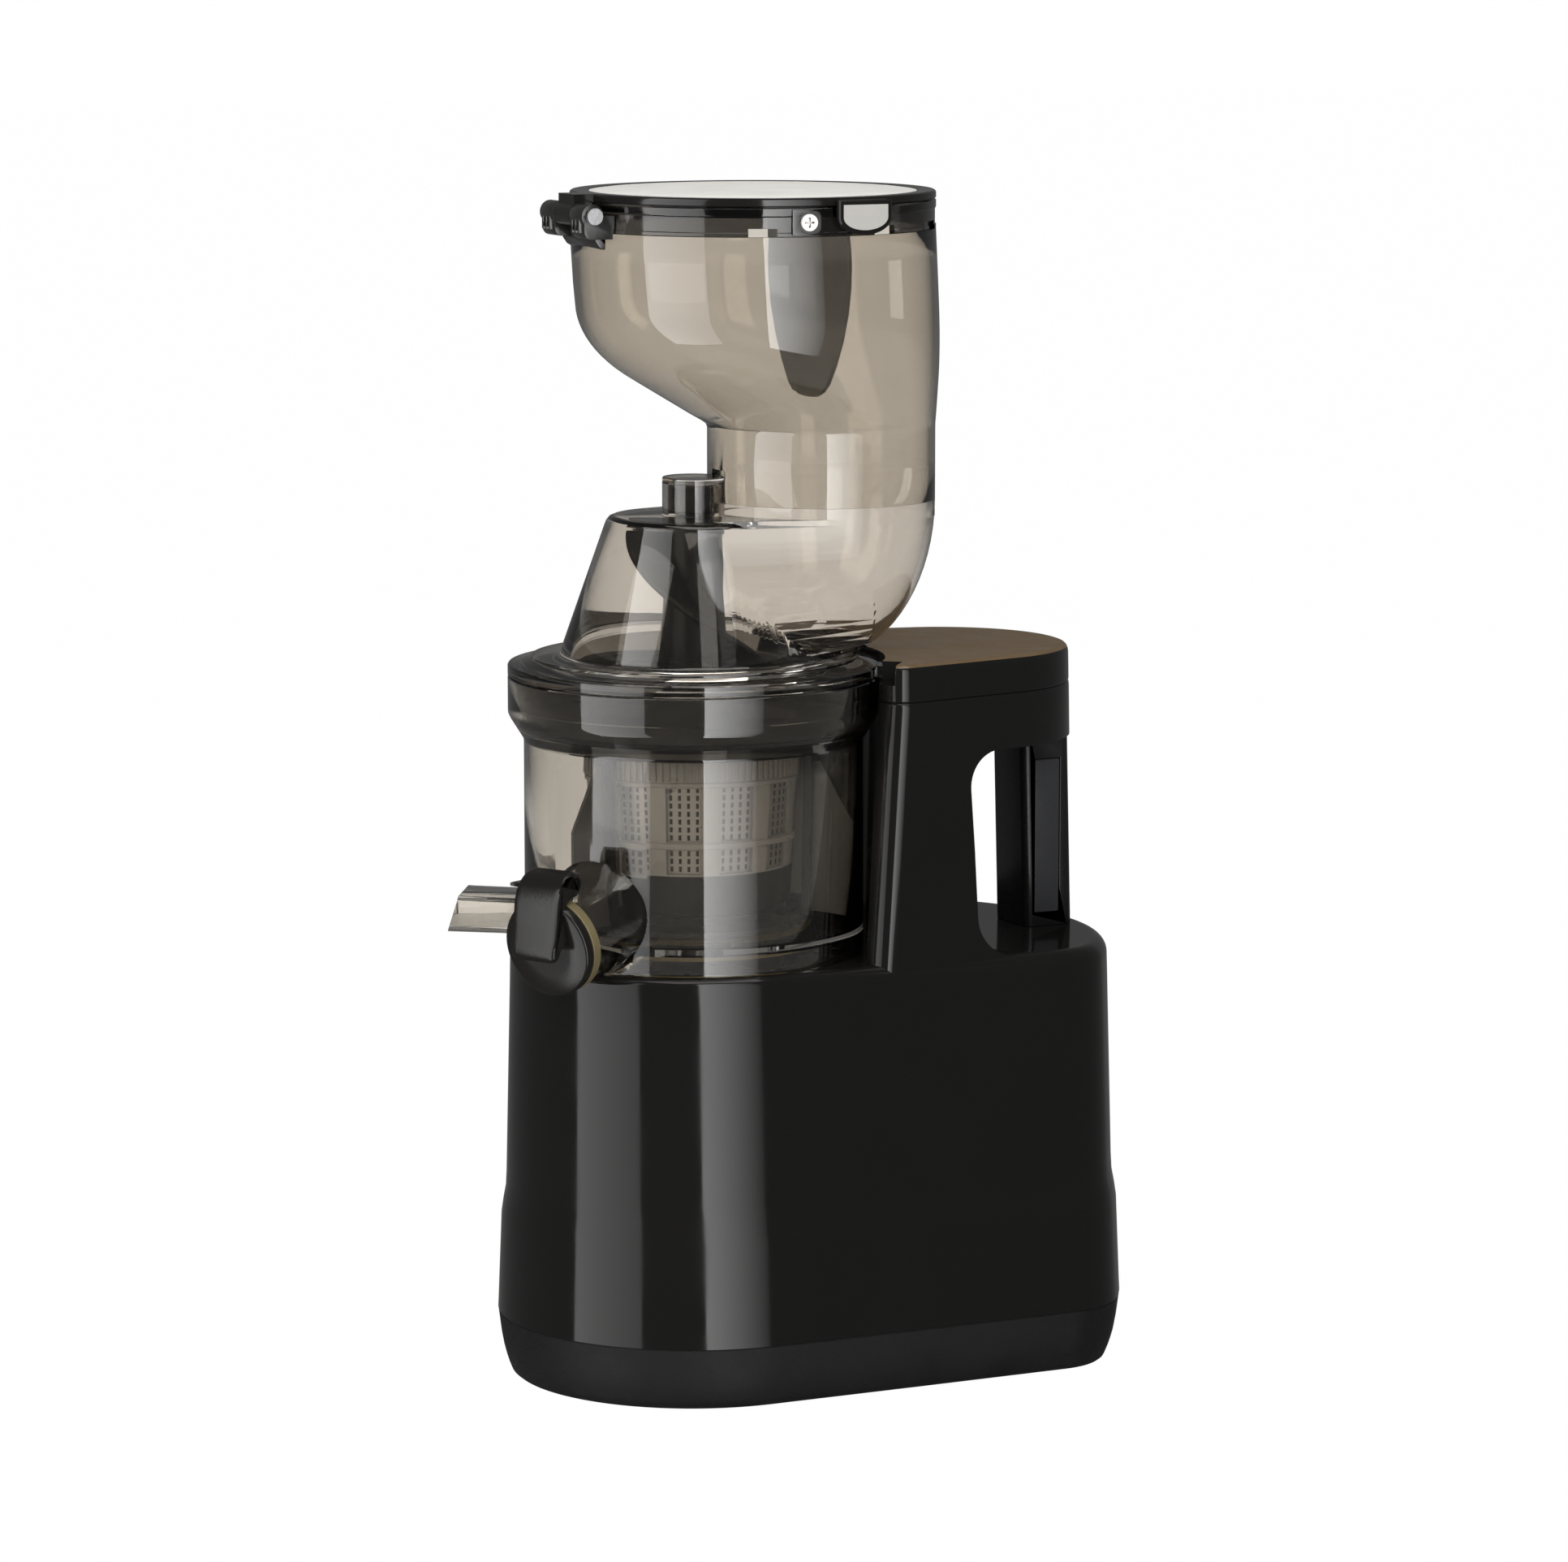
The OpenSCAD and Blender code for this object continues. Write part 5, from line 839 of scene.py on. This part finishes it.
# The cover's skirt and ledge take the darker tint, painted shade on the same clear moulding.
coat(cover, SMOKE_COVER, SMOKE_RING_PAINTED_SHADE)
for face in cover.data.polygons:
    face.material_index = int(face.center.z < 268 and face.center.xy.length > 50)
bowl_cover = settle(cover, "cover", "smoke_clear", None, "bowl_cover")


# ---- Feed chute and hopper ----
# The chute and the wide hopper are one clear moulding, welded to the cover. The front of the
# hopper sweeps down in one round curve, and its back stands almost upright.
SMOKE_HOPPER = smoked("smoke_hopper", (0.64, 0.595, 0.53), 0.03)


def hopper_rings(draw, low, high):
    """Rounds of the chute and hopper, from foot to mouth, drawn in by the wall."""
    rounds = [(42.2, low), (42.2, 338), (42.2, 350.4), (42.5, 351.9), (43.6, 353.4)]
    rounds += [(42.2 + 14.68 * k / 4, 351.5 + 17.8 * k / 4) for k in (1, 2, 3)]
    for k in range(0, 13):
        a = math.radians(39.5 * (1 - k / 12))
        rounds.append((66.7 - 43 * (1 - math.cos(a)), 396.66 - 43 * math.sin(a)))
    rounds += [(66.8, 400.5), (66.9, 404.7), (66.96, 414), (67, high)]
    rings = []
    for r, z in rounds:
        lean = 3 * (max(z - 351.5, 0) / 73) ** 1.3
        plan = [(x, y) for x, y in arc(0, 94.2 - r - lean, r - draw, -90, 267.5, 143)]
        rings.append((plan, z))
    return rings


hopper = loft("hopper_shell", hopper_rings(0, 324.05, 424.5))
cut(hopper, loft("hopper_tool", hopper_rings(2.4, 322, 426)))
cut(hopper, turn("nub_gap", [(0, 318), (11.6, 318), (11.6, 336), (0, 336)], 72))
soften(hopper, 0.35, 2, 60)
feed_chute = settle(hopper, "cover", "smoke_clear", SMOKE_HOPPER, "feed_chute")


# ---- Collar, hinge and screws ----
# A dark tinted collar is screwed round the hopper's mouth. It has a rolled upper edge, a
# proud foot, snap windows and two ribbed ears that hold the pin of the lid's hinge.
SMOKE_DARK = smoked("smoke_dark", (0.085, 0.08, 0.073), 0.06, haze=0.15)
MOUTH = (0, 24.2)
AT_MOUTH = Matrix.Translation((*MOUTH, 0))
SIDEWAYS = Matrix.Rotation(math.radians(90), 4, "Y")
HINGE_LINE = Matrix.Translation((0, -48, 431)) @ SIDEWAYS
collar = turn("collar_ring", [
    (64.2, 424.5), (66.7, 424.5), (67.0, 424.8), (67.0, 425.9), (66.6, 426.2), (66.6, 431.6),
    (66.9, 432.0), (67.0, 432.4), (67.0, 434.6), (66.6, 435.0), (64.6, 435.0), (64.2, 434.6),
    (64.2, 424.5)], 160, about=MOUTH)
snaps = []
for k in (-22, 20, 52, 128, 160, 202):
    snap = brick("snap_tool", (60, -5.2, 424), (70, 5.2, 427.6))
    snaps.append(place(snap, AT_MOUTH @ Matrix.Rotation(math.radians(k), 4, "Z")))
cut(collar, *snaps)
ears = []
for side in (-1, 1):
    low, high = sorted((side * 7.4, side * 19.2))
    ear = brick("hinge_ear", (low, -51.2, 422.6), (high, -38.4, 431))
    bpy.ops.object.mode_set(mode="EDIT")
    pick_edges(lambda a, b: a.z < 423 and b.z < 423 and a.y < -50 and b.y < -50)
    bpy.ops.mesh.bevel(offset=3, segments=5, affect="EDGES")
    bpy.ops.object.mode_set(mode="OBJECT")
    barrel = turn("hinge_barrel", [(0, low), (4.2, low), (4.2, high), (0, high)], 48)
    place(barrel, HINGE_LINE)
    weld(ear, barrel)
    ribs = [brick("ear_rib", (x - 0.5, -52.1, 425), (x + 0.5, -50.6, 430.5))
            for x in (low + 2.2, low + 5.2, low + 8.4)]
    ears.append(soften(weld(ear, *ribs), 0.4, 2, 50))
hook = side_block("snap_hook", [(45.2, 425), (45.2, 421.8), (43.6, 419.6), (41.4, 418.4),
                                (38, 418.2), (36, 425)], 15)
place(hook, Matrix.Rotation(math.radians(-90), 4, "Z"))
mouth_tool = turn("mouth_tool", [(0, 410), (67.15, 410), (67.15, 424.4), (64.2, 424.4),
                                 (64.2, 445), (0, 445)], 160, about=MOUTH)
pin_tool = turn("pin_tool", [(0, -40), (1.6, -40), (1.6, 40), (0, 40)], 32)
place(pin_tool, HINGE_LINE)
hinge = cut(weld(ears[0], ears[1], soften(hook, 0.6, 2, 50)), mouth_tool, pin_tool)
HINGE_BLACK = moulded("hinge_black", (0.012, 0.0115, 0.011), 0.16, grain=600, depth=0.04)
SCREW_Y = 15
bosses = []
for side in (-1, 1):
    angle = math.degrees(math.asin((SCREW_Y - MOUTH[1]) / 67))
    boss = turn("screw_boss", [(0, 60), (4.2, 60), (4.2, 67.1), (3.9, 67.4), (0, 67.4)], 40)
    wing = soften(brick("boss_wing", (-4.6, -6.2, 64.4), (4.6, 6.2, 67.25)), 0.4, 2, 50)
    facing = Matrix.Rotation(math.radians(angle if side > 0 else 180 - angle), 4, "Z")
    turned_out = Matrix.Translation((*MOUTH, 429.75)) @ facing @ SIDEWAYS
    bosses += [place(boss, turned_out), place(wing, turned_out)]
weld(collar, *bosses)
cut(collar, turn("mouth_clear", [(0, 410), (64.2, 410), (64.2, 445), (0, 445)], 160, about=MOUTH))
coat(collar, SMOKE_DARK)
coat(hinge, HINGE_BLACK)
hopper_collar = settle(gather("collar_with_hinge", collar, hinge), "cover", "smoke_dark", None,
                       "hopper_collar")
PAINTED_SCREW = moulded("pale_screw", (0.6, 0.585, 0.56), 0.42, grain=700, depth=0.1, metallic=0.3)
dress(PAINTED_SCREW, "collar_screws")


# ---- Lid ----
# The lid is a black ring with a frosted, slightly domed window. It turns on the hinge pin, has
# a hanging finger tab at each side, and holds the soft flap that stops fruit jumping back.
RIM_BLACK = moulded("rim_gloss_black", (0.0075, 0.007, 0.0066), 0.1, grain=300, depth=0.02,
                    specular=0.3)
TAB_GREY = moulded("tab_frosted", (0.4, 0.39, 0.37), 0.4, grain=420, depth=0.3)
rim = turn("lid_ring", [
    (60.0, 435.3), (61.7, 435.3), (61.7, 431.2), (63.5, 431.2), (63.5, 435.3), (66.6, 435.3),
    (67.0, 435.7), (67.0, 437.4), (66.8, 437.9), (66.2, 438.3), (61.0, 438.3), (60.4, 438.2),
    (60.0, 437.9), (60.0, 435.3)], 160, about=MOUTH)
cut(rim, brick("flange_tool", (-33, -60, 420), (33, -14, 435.29)))
knuckle = brick("knuckle", (-7, -50, 431), (7, -38.6, 438.3))
barrel = turn("knuckle_barrel", [(0, -7), (4.2, -7), (4.2, 7), (0, 7)], 48)
place(barrel, HINGE_LINE)
weld(knuckle, barrel)
cut(knuckle, turn("collar_gap", [(0, 400), (67.4, 400), (67.4, 435.29), (0, 435.29)], 160,
                  about=MOUTH))
pin_tool = turn("pin_tool", [(0, -40), (1.6, -40), (1.6, 40), (0, 40)], 32)
place(pin_tool, HINGE_LINE)
cut(knuckle, pin_tool)
weld(rim, knuckle)


def tab_plan(draw):
    """A finger tab seen from the side: straight above, rounded below."""
    w = 10.5 - draw
    low = [(x, y * (6.3 - draw) / w) for x, y in arc(0, 0, w, 180, 360, 32)]
    return [(-w, 6.2 - draw)] + low + [(w, 6.2 - draw)]


tabs = []
for side in (-1, 1):
    tab = loft("finger_tab", [(tab_plan(0.4), 0), (tab_plan(0), 0.5), (tab_plan(0), 2.1),
                              (tab_plan(0.5), 2.6), (tab_plan(1.7), 2.6), (tab_plan(1.9), 1.7)])
    upright = Matrix(((0, 0, side, side * 67.35), (side, 0, 0, 36), (0, 1, 0, 431.3), (0, 0, 0, 1)))
    tabs.append(place(tab, upright))
    low, high = sorted((side * 62, side * 69))
    web = brick("tab_web", (low, 27, 435.4), (high, 45, 437.6))
    tabs.append(soften(web, 0.5, 2, 50))
rim = gather("lid_ring", rim, *tabs)
coat(rim, RIM_BLACK, TAB_GREY)
for face in rim.data.polygons:
    face.material_index = int(abs(face.normal.x) > 0.99 and face.area > 60
                              and abs(face.center.x) > 68 and face.center.z < 437)
lid_rim = settle(rim, "lid", "gloss_black", None, "lid_rim")

SMOKE_LIGHT = smoked("smoke_light", (0.94, 0.935, 0.915), 0.22, ripple=0.008, uneven=0.06)
SMOKE_LIGHT.node_tree.nodes["Principled BSDF"].inputs["Transmission Weight"].default_value = 0.25
pane = turn("lid_pane", [(0, 435.8), (59.9, 435.8), (59.9, 438.0), (57, 438.35), (51, 438.6),
                         (40, 438.85), (30, 438.98), (18, 439.1), (8, 439.16), (0, 439.18)], 144,
            about=MOUTH)
lid_window = settle(pane, "lid", "smoke_light", SMOKE_LIGHT, "lid_window")

FLAP_GREY = moulded("flap_silicone", (0.085, 0.083, 0.08), 0.38, grain=600, depth=0.12,
                    specular=0.5)
half = [(34, 435.7), (34, 415), (33.6, 404), (31.5, 394), (27.5, 384), (22, 375), (16.5, 368.2),
        (12, 364.6), (7, 362.9), (2.5, 362.55)]
plan = [(-x, z) for x, z in half] + [(x, z) for x, z in reversed(half)]


def flap_plan(draw):
    return [(x * (1 - draw / 34), 399 + (z - 399) * (1 - draw / 36.6)) for x, z in plan]


flap = loft("splash_flap_sheet", [(flap_plan(0.5), 0), (flap_plan(0.12), 0.15), (flap_plan(0), 0.5),
                                  (flap_plan(0), 1.5), (flap_plan(0.12), 1.85),
                                  (flap_plan(0.5), 2)])
place(flap, Matrix(((1, 0, 0, 0), (0, 0, -1, 48.05), (0, 1, 0, 0), (0, 0, 0, 1))))
splash_flap = settle(flap, "lid", "soft_grey", FLAP_GREY, "splash_flap")


# ---- Floor, light and camera ----
# A plain pale floor, a tall soft box at the front, a narrow one at the side with a weak fill
# beside it, one overhead and one at the back. The camera sees white, also straight through
# the clear plastic; what is mirrored or scattered on its way sees the dim room.
def seen_straight(tree):
    """One for a ray from the camera, or through clear plastic alone, and zero for the rest."""
    path = tree.nodes.new("ShaderNodeLightPath").outputs
    straight = reckon(tree, "MAXIMUM", path["Is Camera Ray"], path["Is Transmission Ray"])
    bounces = reckon(tree, "ADD", path["Glossy Depth"], path["Diffuse Depth"])
    return reckon(tree, "MULTIPLY", straight, reckon(tree, "LESS_THAN", bounces, 0.5))


let_go()
bpy.ops.mesh.primitive_plane_add(size=24, location=(0, 0, -0.0002))
floor = bpy.context.object
floor.name = "floor"
pale = bpy.data.materials.new("pale_floor")
pale.use_nodes = True
tree = pale.node_tree
tree.nodes["Principled BSDF"].inputs["Base Color"].default_value = (0.86, 0.86, 0.86, 1)
tree.nodes["Principled BSDF"].inputs["Roughness"].default_value = 0.9
tree.nodes["Principled BSDF"].inputs["Specular IOR Level"].default_value = 0.0
glow = tree.nodes.new("ShaderNodeEmission")
glow.inputs["Strength"].default_value = 1.0
both = tree.nodes.new("ShaderNodeMixShader")
tree.links.new(reckon(tree, "MULTIPLY", seen_straight(tree), 0.994), both.inputs[0])
tree.links.new(tree.nodes["Principled BSDF"].outputs[0], both.inputs[1])
tree.links.new(glow.outputs[0], both.inputs[2])
tree.links.new(both.outputs[0], tree.nodes["Material Output"].inputs["Surface"])
floor.data.materials.append(pale)
floor.visible_glossy = False

world = bpy.data.worlds.new("studio")
bpy.context.scene.world = world
world.use_nodes = True
tree = world.node_tree
dim = tree.nodes["Background"]
mirrored = reckon(tree, "GREATER_THAN",
                  tree.nodes.new("ShaderNodeLightPath").outputs["Glossy Depth"], 0.5)
tree.links.new(reckon(tree, "SUBTRACT", 0.32, reckon(tree, "MULTIPLY", mirrored, 0.18)),
               dim.inputs["Strength"])
white = tree.nodes.new("ShaderNodeBackground")
dim.inputs["Color"].default_value = white.inputs["Color"].default_value = (1, 1, 1, 1)
white.inputs["Strength"].default_value = 1.0
both = tree.nodes.new("ShaderNodeMixShader")
tree.links.new(seen_straight(tree), both.inputs[0])
tree.links.new(dim.outputs[0], both.inputs[1])
tree.links.new(white.outputs[0], both.inputs[2])
tree.links.new(both.outputs[0], tree.nodes["World Output"].inputs["Surface"])


def soft_box(name, azimuth, height, distance, wide, tall, power, colour=(1, 1, 1), shows=False):
    """A soft box round the object, at an angle from the front, aimed at its middle."""
    lamp = bpy.data.lights.new(name, "AREA")
    lamp.shape, lamp.size, lamp.size_y = "RECTANGLE", wide, tall
    lamp.energy, lamp.color = power, colour
    box = bpy.data.objects.new(name, lamp)
    bpy.context.scene.collection.objects.link(box)
    a = math.radians(azimuth)
    box.location = (distance * math.sin(a), -distance * math.cos(a), height)
    box.rotation_euler = (Vector((0, 0, 0.2)) - box.location).to_track_quat("-Z", "Y").to_euler()
    box.visible_camera = False
    box.visible_glossy = shows
    return box


def card(name, first, last, bright, dull):
    """A tall lit card that only shines in the object's gloss: brightest at its first side."""
    let_go()
    bpy.ops.mesh.primitive_plane_add(size=1)
    sheet = bpy.context.object
    sheet.name = name
    ends = [Vector((1.6 * math.sin(math.radians(a)), -1.6 * math.cos(math.radians(a)), 0))
            for a in (first, last)]
    for corner in sheet.data.vertices:
        side = ends[int(corner.co.x > 0)]
        corner.co = (side.x, side.y, 1.5 if corner.co.y > 0 else -1.3)
    lit = bpy.data.materials.new(name)
    lit.use_nodes = True
    tree = lit.node_tree
    across = tree.nodes.new("ShaderNodeSeparateXYZ")
    tree.links.new(tree.nodes.new("ShaderNodeTexCoord").outputs["Generated"], across.inputs[0])
    fade = tree.nodes.new("ShaderNodeMapRange")
    axis = "X" if abs(ends[1].x - ends[0].x) > abs(ends[1].y - ends[0].y) else "Y"
    tree.links.new(across.outputs[axis], fade.inputs["Value"])
    fade.inputs["To Min"].default_value, fade.inputs["To Max"].default_value = bright, dull
    glow = tree.nodes.new("ShaderNodeEmission")
    tree.links.new(fade.outputs["Result"], glow.inputs["Strength"])
    tree.links.new(glow.outputs[0], tree.nodes["Material Output"].inputs["Surface"])
    lit.cycles.emission_sampling = "NONE"
    sheet.data.materials.append(lit)
    sheet.visible_camera = sheet.visible_diffuse = sheet.visible_transmission = False
    sheet.visible_shadow = sheet.visible_volume_scatter = False


soft_box("front_box", 13.5, 0.75, 1.7, 1.37, 1.7, 24)
soft_box("side_box", 79, 0.9, 1.9, 0.55, 1.7, 11)
soft_box("side_fill", 96, 0.9, 1.9, 0.5, 1.7, 3)
soft_box("overhead_box", 90, 2.1, 0.5, 1.6, 1.6, 29, (1.0, 0.97, 0.92), True)
soft_box("back_box", 165, 0.9, 2.0, 0.5, 1.5, 9)
card("front_card", -6, 35.5, 4.9, 2.4)
card("side_card", 71, 107, 9.4, 0.9)

camera = bpy.data.objects.new("camera", bpy.data.cameras.new("camera"))
bpy.context.scene.collection.objects.link(camera)
camera.data.sensor_fit, camera.data.sensor_width, camera.data.lens = "HORIZONTAL", 36, 137.89
camera.data.clip_end = 60
turn_to, tilt, pan_by = math.radians(65.5), math.radians(8.57), math.radians(-0.87)
level = Matrix.Rotation(pan_by, 3, "Z") @ Vector((-math.sin(turn_to), math.cos(turn_to), 0))
ahead = level * math.cos(tilt) - Vector((0, 0, 1)) * math.sin(tilt)
right = Vector((level.y, -level.x, 0))
axes = Matrix((right, right.cross(ahead), -ahead)).transposed()
camera.matrix_world = Matrix.Translation((2.0116, -0.945, 0.5515)) @ axes.to_4x4()
bpy.context.scene.camera = camera
bpy.context.scene.view_settings.view_transform = "Standard"
